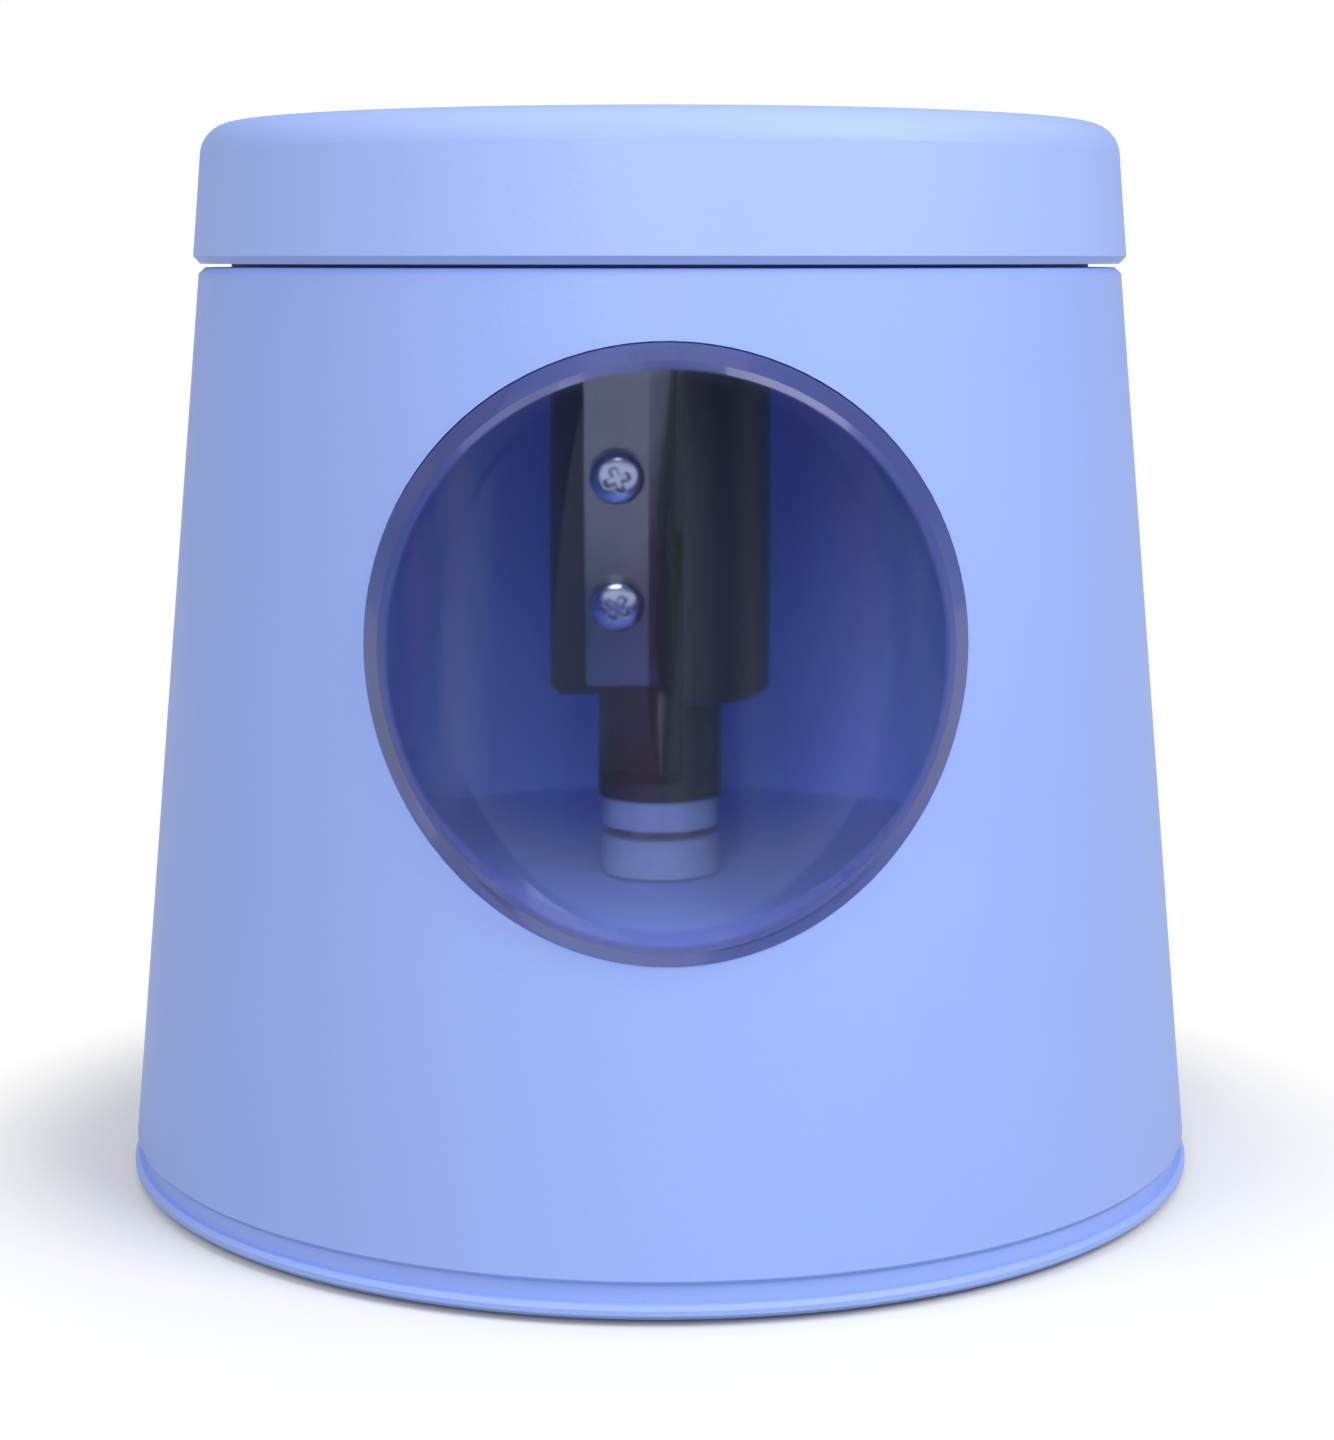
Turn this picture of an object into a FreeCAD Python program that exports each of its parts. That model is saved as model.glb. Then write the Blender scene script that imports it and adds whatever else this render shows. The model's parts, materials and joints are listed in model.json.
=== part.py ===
"""Desk pencil sharpener with a round window and a battery drive, as a parametric document.

Millimetres. +Z is up, the origin lies on the table under the middle of the base, and the window
faces -Y. The sheet "Sizes" holds the sizes that can be set, the sheet "Levels" the heights and
distances that follow from them. Each length below is a formula of those cells, so one changed cell
moves all that fits against it.
"""
import FreeCAD, Part
import math
import os

import Sketcher
from FreeCAD import Placement, Rotation, Vector

SIZES = {
    # Feet and base plate
    "foot_stand": 0.5,
    "foot_recess": 1.0,
    "foot_radius": 3.0,
    "foot_inset": 4.7,
    "front_foot_angle": 25.0,
    "rear_foot_angle": 40.0,
    "base_thick": 2.0,
    "flange_proud": 0.2,
    "flange_height": 0.95,
    "flange_bevel": 0.3,
    "inset_step": 0.5,
    "inset_height": 1.3,
    "spigot_height": 3.2,
    "spigot_wall": 1.4,
    "spigot_gap": 0.15,
    # Body shell
    "body_bottom_radius": 40.0,
    "body_top_radius": 33.85,
    "wall": 2.2,
    "deck_thick": 2.0,
    "body_foot_bevel": 0.3,
    "body_rim_bevel": 0.45,
    "base_boss_radius": 2.7,
    "base_boss_inset": 7.6,
    "base_screw_count": 3,
    # Window
    "window_radius": 19.8,
    "window_gap": 0.1,
    "window_sill": 1.5,
    "window_head": 4.5,
    "window_proud": 1.6,
    "window_bevel": 1.3,
    "window_bevel_edge": 0.3,
    "window_lip": 1.0,
    "window_lip_thick": 1.4,
    "window_seat_gap": 0.05,
    # Lid and pencil guide
    "lid_gap": 0.25,
    "lid_height": 10.0,
    "lid_overhang": 0.45,
    "lid_lean": 0.9,
    "lid_wall": 2.0,
    "lid_top_round": 2.4,
    "lid_edge_bevel": 0.55,
    "skirt_gap": 0.15,
    "skirt_wall": 1.6,
    "skirt_depth": 2.8,
    "guide_bore_radius": 4.1,
    "guide_wall": 1.9,
    "guide_flange_radius": 8.05,
    "guide_flange_thick": 1.2,
    "guide_flange_gap": 0.05,
    "guide_length": 8.4,
    "guide_mouth_radius": 6.4,
    "guide_mouth_depth": 2.3,
    "hub_drop": 2.45,
    "hub_wall": 1.8,
    "bearing_length": 3.4,
    "bearing_wall": 1.7,
    # Cutter holder and blade
    "neck_radius": 4.7,
    "neck_height": 7.7,
    "holder_radius": 8.3,
    "holder_bevel": 0.6,
    "shoulder_gap": 1.7,
    "journal_radius": 6.0,
    "journal_play": 0.08,
    "journal_top_gap": 0.5,
    "socket_radius": 4.2,
    "socket_mouth": 0.8,
    "cone_length": 19.1,
    "cone_web": 0.5,
    "stub_radius": 1.8,
    "stub_length": 1.5,
    "blade_bite": 0.35,
    "seat_rim": 1.0,
    "seat_foot": 0.9,
    "slot_edge": 1.6,
    "blade_rise": 19.2,
    "blade_above": 13.4,
    "blade_below": 11.4,
    "blade_thick": 0.6,
    "blade_back": 5.6,
    "blade_bevel_start": 0.9,
    "blade_edge": 1.1,
    "blade_edge_thick": 0.05,
    "blade_screw_across": 3.2,
    "blade_screw_spacing": 9.8,
    "blade_screw_head_radius": 2.0,
    "blade_screw_head_height": 1.2,
    "blade_screw_crown": 0.7,
    "blade_screw_radius": 0.8,
    "blade_screw_depth": 0.9,
    "blade_hole_play": 0.1,
    # Drive coupling and spindle
    "cup_lift": 0.2,
    "cup_radius": 4.5,
    "cup_floor": 1.0,
    "cup_height": 2.9,
    "press_travel": 0.6,
    "press_rest": 0.1,
    "collar_radius": 4.4,
    "collar_height": 2.3,
    "tang_side": 4.4,
    "tang_play": 0.1,
    "tang_tip_gap": 0.05,
    "pin_radius": 0.95,
    "pin_play": 0.15,
    "pin_depth": 2.5,
    "spindle_radius": 2.5,
    "spindle_play": 0.05,
    "spring_room_radius": 1.95,
    "spring_wire_radius": 0.18,
    "spring_play": 0.25,
    "spring_turns": 4,
    "spring_sides": 12,
    "spring_depth": 5.0,
    "clip_thick": 0.5,
    "clip_radius": 4.0,
    "clip_seat_depth": 0.45,
    "clip_play": 0.05,
    "clip_end_gap": 0.2,
    "spindle_tail": 0.5,
    "bush_wall": 1.05,
    "plate_bush_drop": 0.55,
    # Gears
    "gear_module": 0.5,
    "gear_teeth": 60,
    "pinion_teeth": 10,
    "tooth_thinning": 0.1,
    "mesh_play": 0.12,
    "gear_room": 3.4,
    "gear_face_play": 0.5,
    "hub_play": 0.15,
    "gear_hub_radius": 4.5,
    "gear_rim_wall": 2.2,
    "gear_web_thick": 1.2,
    # Gear plate
    "plate_thick": 1.4,
    "plate_margin": 3.0,
    "post_across": 17.0,
    "post_back": 7.0,
    "rear_post_back": 32.6,
    "post_radius": 2.5,
    "screw_radius": 0.9,
    "screw_play": 0.25,
    "screw_head_radius": 1.8,
    "screw_head_height": 1.1,
    "post_screw_depth": 2.8,
    "base_screw_depth": 8.0,
    # Motor
    "motor_radius": 12.2,
    "motor_height": 12.0,
    "motor_cap_height": 1.2,
    "motor_cap_step": 0.4,
    "motor_bevel": 1.0,
    "motor_boss_radius": 3.0,
    "motor_boss_height": 0.8,
    "motor_boss_play": 0.2,
    "motor_shaft_radius": 1.0,
    "motor_shaft_play": 0.05,
    "motor_screw_across": 8.0,
    "motor_screw_depth": 2.5,
    "terminal_width": 2.2,
    "terminal_thick": 0.4,
    "terminal_reach": 2.8,
    # Battery bay, cells and contacts
    "cell_radius": 5.25,
    "cell_length": 44.5,
    "cell_gap": 0.3,
    "cell_nub_radius": 1.9,
    "cell_nub_length": 0.9,
    "cell_bevel": 0.6,
    "contact_room": 3.9,
    "bay_back": 5.4,
    "bay_corner": 4.0,
    "bay_wall": 1.1,
    "bay_roof": 1.2,
    "bay_clearance": 0.9,
    "motor_clearance": 0.5,
    "door_recess": 1.4,
    "door_inset": 0.1,
    "door_ledge": 1.0,
    "door_gap": 0.2,
    "door_notch_radius": 4.0,
    "contact_thick": 0.4,
    "contact_width": 3.0,
    "contact_height": 6.5,
    "contact_tip": 1.1,
    "contact_play": 0.15,
    # Press switch
    "pin_reach": 0.7,
    "pin_gap": 0.15,
    "leaf_thick": 0.25,
    "leaf_width": 3.6,
    "leaf_arm": 12.0,
    "leaf_overhang": 2.5,
    "leaf_root_radius": 0.4,
    "leaf_root_play": 0.05,
    "leaf_gap": 0.75,
    "block_length": 5.5,
    "block_width": 5.2,
    "block_foot": 0.5,
    "leaf_tail": 1.6,
}


class Formula:
    """A length that carries its number and the sheet formula that gives it."""

    def __init__(self, number, text):
        self.number = number
        self.text = text

    def joined(self, sign, other, number):
        return Formula(number, f"({self.text} {sign} {formula(other).text})")

    def __add__(self, other):
        return self.joined("+", other, self.number + formula(other).number)

    def __sub__(self, other):
        return self.joined("-", other, self.number - formula(other).number)

    def __mul__(self, other):
        return self.joined("*", other, self.number * formula(other).number)

    def __truediv__(self, other):
        return self.joined("/", other, self.number / formula(other).number)

    def __neg__(self):
        return Formula(-self.number, f"(0 - {self.text})")


def formula(value):
    """Take a plain number as a formula of itself."""
    if isinstance(value, Formula):
        return value
    return Formula(float(value), f"{value:.6f}")


def larger(first, second):
    return Formula(max(first.number, second.number), f"max({first.text}; {second.text})")


def sine(angle):
    return Formula(math.sin(math.radians(angle.number)), f"sin({angle.text} * 1deg)")


def cosine(angle):
    return Formula(math.cos(math.radians(angle.number)), f"cos({angle.text} * 1deg)")


ZERO = formula(0)
TOUCHING = 0.01
doc = FreeCAD.newDocument("pencil_sharpener")
sheet = doc.addObject("Spreadsheet::Sheet", "Sizes")
for row, (alias, number) in enumerate(SIZES.items(), 1):
    sheet.set(f"A{row}", alias)
    sheet.set(f"B{row}", str(number))
    sheet.setAlias(f"B{row}", alias)
levels = doc.addObject("Spreadsheet::Sheet", "Levels")
doc.recompute()


class SheetSizes:
    """Every sheet size by its name, as a formula."""

    def __getattr__(self, alias):
        return Formula(float(sheet.get(alias)), f"Sizes.{alias}")


size = SheetSizes()
level_count = 0


def level(alias, value):
    """Keep a derived height or distance in the second sheet, under its own name."""
    global level_count
    level_count += 1
    levels.set(f"A{level_count}", alias)
    levels.set(f"B{level_count}", f"={value.text}")
    levels.setAlias(f"B{level_count}", alias)
    return Formula(value.number, f"Levels.{alias}")


# Heights from the table up: base, battery bay and motor, gears, deck, window, lid
base_under = level("base_under", size.foot_stand)
base_floor = level("base_floor", base_under + size.base_thick)
flange_top = level("flange_top", base_under + size.flange_height)
body_foot = level("body_foot", flange_top + size.inset_height)
door_top = level("door_top", base_under + size.door_recess)
cell_axis = level("cell_axis", door_top + size.cell_gap / 2 + size.cell_radius)
bay_ceiling = level("bay_ceiling", cell_axis + size.cell_radius + size.cell_gap)
bay_top = level("bay_top", bay_ceiling + size.bay_roof)
plate_under = level(
    "plate_under",
    larger(bay_top + size.bay_clearance, base_floor + size.motor_clearance + size.motor_height),
)
plate_top = level("plate_top", plate_under + size.plate_thick)
deck_under = level("deck_under", plate_top + size.gear_room)
deck_top = level("deck_top", deck_under + size.deck_thick)
window_axis = level("window_axis", deck_top + size.window_sill + size.window_radius)
body_rim = level("body_rim", window_axis + size.window_radius + size.window_head)
lid_foot = level("lid_foot", body_rim + size.lid_gap)
lid_top = level("lid_top", lid_foot + size.lid_height)
motor_under = level("motor_under", plate_under - size.motor_height)

# Heights of the cutter and its coupling, from the deck up
cup_foot = level("cup_foot", deck_top + size.cup_lift)
cup_floor_top = level("cup_floor_top", cup_foot + size.cup_floor)
cup_rim = level("cup_rim", cup_foot + size.cup_height)
collar_foot = level("collar_foot", cup_rim + size.press_travel + size.press_rest)
tang_foot = level("tang_foot", cup_floor_top + size.press_travel + size.tang_tip_gap)
neck_foot = level("neck_foot", collar_foot + size.collar_height)
neck_top = level("neck_top", neck_foot + size.neck_height)
cone_tip = level("cone_tip", neck_foot + size.cone_web)
cone_top = level("cone_top", cone_tip + size.cone_length)
hub_foot = level("hub_foot", lid_foot - size.hub_drop)
shoulder = level("shoulder", hub_foot - size.shoulder_gap)
guide_foot = level("guide_foot", lid_top - size.guide_length)
journal_top = level("journal_top", guide_foot - size.journal_top_gap)
cone_slope = level("cone_slope", size.socket_radius / size.cone_length)
blade_middle = level("blade_middle", cone_tip + size.blade_rise)

# Heights of the spindle and the press switch, from the gear plate down
bush_foot = level("bush_foot", plate_under - size.plate_bush_drop)
clip_top = level("clip_top", bush_foot - size.clip_end_gap)
clip_foot = level("clip_foot", clip_top - size.clip_thick)
spindle_foot = level("spindle_foot", clip_foot - size.clip_play - size.spindle_tail)
spring_foot = level("spring_foot", cup_floor_top - size.spring_depth)
pin_foot = level("pin_foot", spindle_foot - size.pin_reach)
leaf_top = level("leaf_top", pin_foot - size.pin_gap)
leaf_axis = level("leaf_axis", leaf_top - size.leaf_thick / 2)
contact_top = level("contact_top", leaf_top - size.leaf_thick - size.leaf_gap)
contact_foot = level("contact_foot", contact_top - size.leaf_thick)

# Distances across
flange_radius = level("flange_radius", size.body_bottom_radius + size.flange_proud)
inset_radius = level("inset_radius", size.body_bottom_radius - size.inset_step)
base_boss_ring = level("base_boss_ring", size.body_bottom_radius - size.base_boss_inset)
foot_ring = level("foot_ring", flange_radius - size.foot_inset)
lid_bottom_radius = level("lid_bottom_radius", size.body_top_radius + size.lid_overhang)
lid_top_radius = level("lid_top_radius", lid_bottom_radius - size.lid_lean)
motor_back = level(
    "motor_back", size.gear_module * (size.gear_teeth + size.pinion_teeth) / 2 + size.mesh_play
)
bush_bore = level("bush_bore", size.spindle_radius + size.spindle_play)
bush_radius = level("bush_radius", bush_bore + size.bush_wall)
guide_radius = level("guide_radius", size.guide_bore_radius + size.guide_wall)
bearing_bore = level("bearing_bore", size.journal_radius + size.journal_play)
bearing_radius = level("bearing_radius", bearing_bore + size.bearing_wall)
screw_hole = level("screw_hole", size.screw_radius + size.screw_play)
bay_half = level("bay_half", size.cell_length / 2 + size.contact_room)
bay_front = level("bay_front", size.bay_back + size.cell_radius * 4 + size.cell_gap * 3)
taper = level("taper", (size.body_bottom_radius - size.body_top_radius) / (body_rim - body_foot))
cell_places = [
    level("inner_cell", size.bay_back + size.cell_gap + size.cell_radius),
    level("outer_cell", size.bay_back + size.cell_gap * 2 + size.cell_radius * 3),
]
post_places = [
    (-size.post_across, size.post_back),
    (size.post_across, size.post_back),
    (ZERO, size.rear_post_back),
]
doc.recompute()
nodes = {}


def body_radius(height):
    """Outer radius of the tapered body at a height."""
    return size.body_bottom_radius - (height - body_foot) * taper


def new_body(label):
    body = doc.addObject("PartDesign::Body", label)
    body.Label = label
    body.AllowCompound = True
    nodes[label] = body
    return body


def stand_at(body, across=None, back=None, up=None):
    """Place a body by formulas of its X, Y and Z."""
    for axis, value in (("x", across), ("y", back), ("z", up)):
        if value is not None:
            body.setExpression(f"Placement.Base.{axis}", value.text)


def sketch_on(body, role, name, lift=None):
    """Attach a sketch to one of the body's origin planes, moved along the plane's normal by lift."""
    plane = next(item for item in body.Origin.OriginFeatures if item.Role == role)
    sketch = body.newObject("Sketcher::SketchObject", f"{body.Name}_{name}")
    sketch.AttachmentSupport = [(plane, "")]
    sketch.MapMode = "FlatFace"
    if lift is not None:
        sketch.AttachmentOffset = Placement(Vector(0, 0, lift.number), Rotation())
        sketch.setExpression("AttachmentOffset.Base.z", lift.text)
    return sketch


def fix_point(sketch, geometry, position, across, up):
    """Hold one sketch point at its two distances from the sketch's origin."""
    for kind, axis, value in (("DistanceX", -2, across), ("DistanceY", -1, up)):
        if value is ZERO:
            sketch.addConstraint(Sketcher.Constraint("PointOnObject", geometry, position, axis))
            continue
        index = sketch.addConstraint(
            Sketcher.Constraint(kind, -1, 1, geometry, position, value.number)
        )
        sketch.setExpression(f"Constraints[{index}]", value.text)


def outline(sketch, points):
    """Draw a closed outline of straight lines whose corners are held by formulas."""
    flat = [Vector(across.number, up.number, 0) for across, up in points]
    lines = [
        sketch.addGeometry(Part.LineSegment(start, end), False)
        for start, end in zip(flat, flat[1:] + flat[:1])
    ]
    for line, following in zip(lines, lines[1:] + lines[:1]):
        sketch.addConstraint(Sketcher.Constraint("Coincident", line, 2, following, 1))
    for line, (across, up) in zip(lines, points):
        fix_point(sketch, line, 1, across, up)


def block(sketch, left, right, low, high):
    outline(sketch, [(left, low), (right, low), (right, high), (left, high)])


def circle(sketch, radius, across=ZERO, up=ZERO):
    centre = Vector(across.number, up.number, 0)
    ring = sketch.addGeometry(Part.Circle(centre, Vector(0, 0, 1), radius.number), False)
    fix_point(sketch, ring, 3, across, up)
    index = sketch.addConstraint(Sketcher.Constraint("Radius", ring, radius.number))
    sketch.setExpression(f"Constraints[{index}]", radius.text)


def add_feature(body, kind, sketch, name):
    feature = body.newObject(f"PartDesign::{kind}", f"{body.Name}_{name}")
    feature.Profile = sketch
    return feature


def pad(body, sketch, length, name, backwards=False, both_ways=False):
    feature = add_feature(body, "Pad", sketch, name)
    feature.setExpression("Length", length.text)
    feature.Reversed = backwards
    if both_ways:
        feature.SideType = "Symmetric"
    doc.recompute()
    return feature


def pocket(body, sketch, length, name, backwards=False, both_ways=False):
    """Cut a sketch into the body, and stop if the cut took nothing away."""
    doc.recompute()
    before = body.Shape.Volume
    feature = add_feature(body, "Pocket", sketch, name)
    feature.setExpression("Length", length.text)
    feature.Reversed = backwards
    if both_ways:
        feature.SideType = "Symmetric"
    doc.recompute()
    if body.Shape.Volume >= before:
        raise RuntimeError(f"{feature.Name} cuts nothing")
    return feature


def revolve(body, sketch, name):
    """Turn a half section about the sketch's upright axis."""
    feature = add_feature(body, "Revolution", sketch, name)
    feature.ReferenceAxis = (sketch, ["V_Axis"])
    feature.Angle = 360
    doc.recompute()
    return feature


def turned(label, section):
    """Make a piece that is one half section turned about its own axis."""
    body = new_body(label)
    sketch = sketch_on(body, "XZ_Plane", "section")
    outline(sketch, section)
    revolve(body, sketch, "turning")
    return body


def repeat_round(body, features, count, name):
    """Repeat features evenly about the upright axis."""
    pattern = body.newObject("PartDesign::PolarPattern", f"{body.Name}_{name}")
    pattern.Originals = features
    pattern.Axis = (features[0].Profile[0], ["N_Axis"])
    pattern.Angle = 360
    pattern.setExpression("Occurrences", count.text)
    body.Tip = pattern
    doc.recompute()
    return pattern


def ring_edges(body, radius, height):
    """Names of the body's circular edges of one radius at one height."""
    names = []
    for index, edge in enumerate(body.Shape.Edges, 1):
        if not isinstance(edge.Curve, Part.Circle):
            continue
        same_radius = abs(edge.Curve.Radius - radius.number) < TOUCHING
        if same_radius and abs(edge.Curve.Center.z - height.number) < TOUCHING:
            names.append(f"Edge{index}")
    return names


def round_ring(body, radius, height, amount, name):
    """Round the circular edge of one radius at one height."""
    names = ring_edges(body, radius, height)
    if not names:
        raise RuntimeError(f"no edge for {name} on {body.Label}")
    feature = body.newObject("PartDesign::Fillet", f"{body.Name}_{name}")
    feature.Base = (body.Tip if body.Tip is not feature else feature.BaseFeature, names)
    feature.setExpression("Radius", amount.text)
    body.Tip = feature
    doc.recompute()
    return feature


def screws(label, places, seat, head, shank, upwards):
    """Make pan-head screws: heads on a seat height and shanks through it, one solid per place."""
    body = new_body(label)
    heads = sketch_on(body, "XY_Plane", "heads", seat)
    shanks = sketch_on(body, "XY_Plane", "shanks", seat)
    for across, back in places:
        circle(heads, head[0], across, back)
        circle(shanks, shank[0], across, back)
    pad(body, heads, head[1], "head", backwards=upwards)
    pad(body, shanks, shank[1], "shank", backwards=not upwards)
    return body


def bay_outline(grow):
    """Corners of the battery bay seen from above, widened all round by grow."""
    half = bay_half + grow
    back = grow - size.bay_back
    front = -(bay_front + grow)
    corner = size.bay_corner + grow * (2 - math.sqrt(2))
    return [
        (-half, back),
        (-half, front + corner),
        (corner - half, front),
        (half - corner, front),
        (half, front + corner),
        (half, back),
    ]


def body_shell():
    """Tapered wall with the deck across it, the window opening, screw bosses and gear plate posts."""
    inner_rim = size.body_top_radius - size.wall
    inner_foot = size.body_bottom_radius - size.wall
    foot_edge = body_foot + size.body_foot_bevel
    rim_edge = body_rim - size.body_rim_bevel
    body = turned(
        "body_shell",
        [
            (size.body_bottom_radius - size.body_foot_bevel, body_foot),
            (body_radius(foot_edge), foot_edge),
            (body_radius(rim_edge), rim_edge),
            (size.body_top_radius - size.body_rim_bevel, body_rim),
            (inner_rim, body_rim),
            (body_radius(deck_top) - size.wall, deck_top),
            (bush_radius, deck_top),
            (bush_radius, deck_under),
            (body_radius(deck_under) - size.wall, deck_under),
            (inner_foot, body_foot),
        ],
    )

    opening = sketch_on(body, "XZ_Plane", "window_opening")
    circle(opening, size.window_radius, ZERO, window_axis)
    pocket(body, opening, size.body_bottom_radius, "window_cut", backwards=True)

    into_deck = size.deck_thick / 2
    boss = sketch_on(body, "XY_Plane", "boss", base_floor)
    circle(boss, size.base_boss_radius, ZERO, -base_boss_ring)
    boss_pad = pad(body, boss, deck_under - base_floor + into_deck, "boss_pad")
    repeat_round(body, [boss_pad], size.base_screw_count, "bosses")
    pilot = sketch_on(body, "XY_Plane", "pilot", base_floor)
    circle(pilot, size.screw_radius, ZERO, -base_boss_ring)
    pilot_cut = pocket(body, pilot, size.base_screw_depth, "pilot_cut", backwards=True)
    repeat_round(body, [pilot_cut], size.base_screw_count, "pilots")

    posts = sketch_on(body, "XY_Plane", "posts", plate_top)
    holes = sketch_on(body, "XY_Plane", "post_holes", plate_top)
    for across, back in post_places:
        circle(posts, size.post_radius, across, back)
        circle(holes, size.screw_radius, across, back)
    pad(body, posts, size.gear_room + into_deck, "post_pad")
    pocket(body, holes, size.post_screw_depth, "post_hole_cut", backwards=True)


def tapered_block(name, offset):
    """A solid with the body's taper, larger or smaller than the body by offset."""
    cone = doc.addObject("Part::Cone", name)
    cone.setExpression("Radius1", (size.body_bottom_radius + offset).text)
    cone.setExpression("Radius2", (size.body_top_radius + offset).text)
    cone.setExpression("Height", (body_rim - body_foot).text)
    cone.setExpression("Placement.Base.z", body_foot.text)
    return cone


def window_disc(name, outer, inner, radius):
    """The part of a tapered wall that lies inside a round hole facing -Y."""
    wall = doc.addObject("Part::Cut", f"{name}_wall")
    wall.Base = tapered_block(f"{name}_outer", outer)
    wall.Tool = tapered_block(f"{name}_inner", inner)
    drill = doc.addObject("Part::Cylinder", f"{name}_drill")
    drill.Placement = Placement(Vector(), Rotation(Vector(1, 0, 0), 90))
    drill.setExpression("Radius", radius.text)
    drill.setExpression("Height", (flange_radius + size.window_proud).text)
    drill.setExpression("Placement.Base.z", window_axis.text)
    disc = doc.addObject("Part::Common", name)
    disc.Base = wall
    disc.Tool = drill
    return disc


def window():
    """Clear plug that stands proud of the wall with a rounded rim, and a lip behind the wall."""
    seat = -(size.wall + size.window_seat_gap)
    plug_radius = size.window_radius - size.window_gap
    plug = window_disc("window_plug", size.window_proud, seat, plug_radius)
    back = seat - size.window_lip_thick
    lip = window_disc("window_lip_disc", seat, back, size.window_radius + size.window_lip)
    joined = doc.addObject("Part::Fuse", "window_joined")
    joined.Base = plug
    joined.Tool = lip
    doc.recompute()

    bevelled = bevel_window_rim(joined, "window_bevelled", plug_radius, size.window_bevel)
    inner_radius = plug_radius - size.window_bevel
    softened = bevel_window_rim(bevelled, "window", inner_radius, size.window_bevel_edge)
    softened.Label = "window"
    nodes["window"] = softened


def bevel_window_rim(solid, name, radius, amount):
    """Bevel the edge of the window's front face that lies at one radius from its axis."""
    rim = []
    for index, edge in enumerate(solid.Shape.Edges, 1):
        point = edge.valueAt((edge.FirstParameter + edge.LastParameter) / 2)
        face_radius = body_radius(formula(point.z)) + size.window_proud
        on_face = abs(math.hypot(point.x, point.y) - face_radius.number) < TOUCHING
        off_axis = math.hypot(point.x, point.z - window_axis.number)
        if on_face and abs(off_axis - radius.number) < size.window_bevel.number / 2:
            rim.append((index, amount.number, amount.number))
    feature = doc.addObject("Part::Chamfer", name)
    feature.Base = solid
    feature.Edges = rim
    doc.recompute()
    return feature


def lid():
    """Cap with a rounded top, a skirt that plugs into the body and a hub for guide and bearing."""
    skirt_radius = size.body_top_radius - size.wall - size.skirt_gap
    skirt_bore = skirt_radius - size.skirt_wall
    ceiling = lid_top - size.lid_wall
    hub_radius = bearing_radius + size.hub_wall
    hub_step = guide_foot - size.journal_top_gap / 2
    flange_seat = lid_top - size.guide_flange_thick
    flange_bore = size.guide_flange_radius + size.guide_flange_gap
    lean = (lid_bottom_radius - lid_top_radius) / size.lid_height
    edge_radius = lid_bottom_radius - lean * size.lid_edge_bevel
    body = turned(
        "lid",
        [
            (flange_bore, lid_top),
            (lid_top_radius, lid_top),
            (edge_radius, lid_foot + size.lid_edge_bevel),
            (lid_bottom_radius - size.lid_edge_bevel, lid_foot),
            (skirt_radius, lid_foot),
            (skirt_radius, lid_foot - size.skirt_depth),
            (skirt_bore, lid_foot - size.skirt_depth),
            (skirt_bore, ceiling),
            (hub_radius, ceiling),
            (hub_radius, hub_foot),
            (bearing_radius, hub_foot),
            (bearing_radius, hub_step),
            (guide_radius, hub_step),
            (guide_radius, flange_seat),
            (flange_bore, flange_seat),
        ],
    )
    round_ring(body, lid_top_radius, lid_top, size.lid_top_round, "top_round")


def pencil_guide():
    """Flanged tube in the lid, with a funnel mouth."""
    bore = size.guide_bore_radius
    turned(
        "pencil_guide",
        [
            (bore, guide_foot),
            (guide_radius, guide_foot),
            (guide_radius, lid_top - size.guide_flange_thick),
            (size.guide_flange_radius, lid_top - size.guide_flange_thick),
            (size.guide_flange_radius, lid_top),
            (size.guide_mouth_radius, lid_top),
            (bore, lid_top - size.guide_mouth_depth),
        ],
    )


def tube(label, bore, radius, foot, top):
    return turned(label, [(bore, foot), (radius, foot), (radius, top), (bore, top)])


def seat_depth(height):
    """Distance of the blade seat in front of the axis, just inside the pencil cone."""
    return cone_slope * (height - cone_tip) - size.blade_bite


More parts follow.
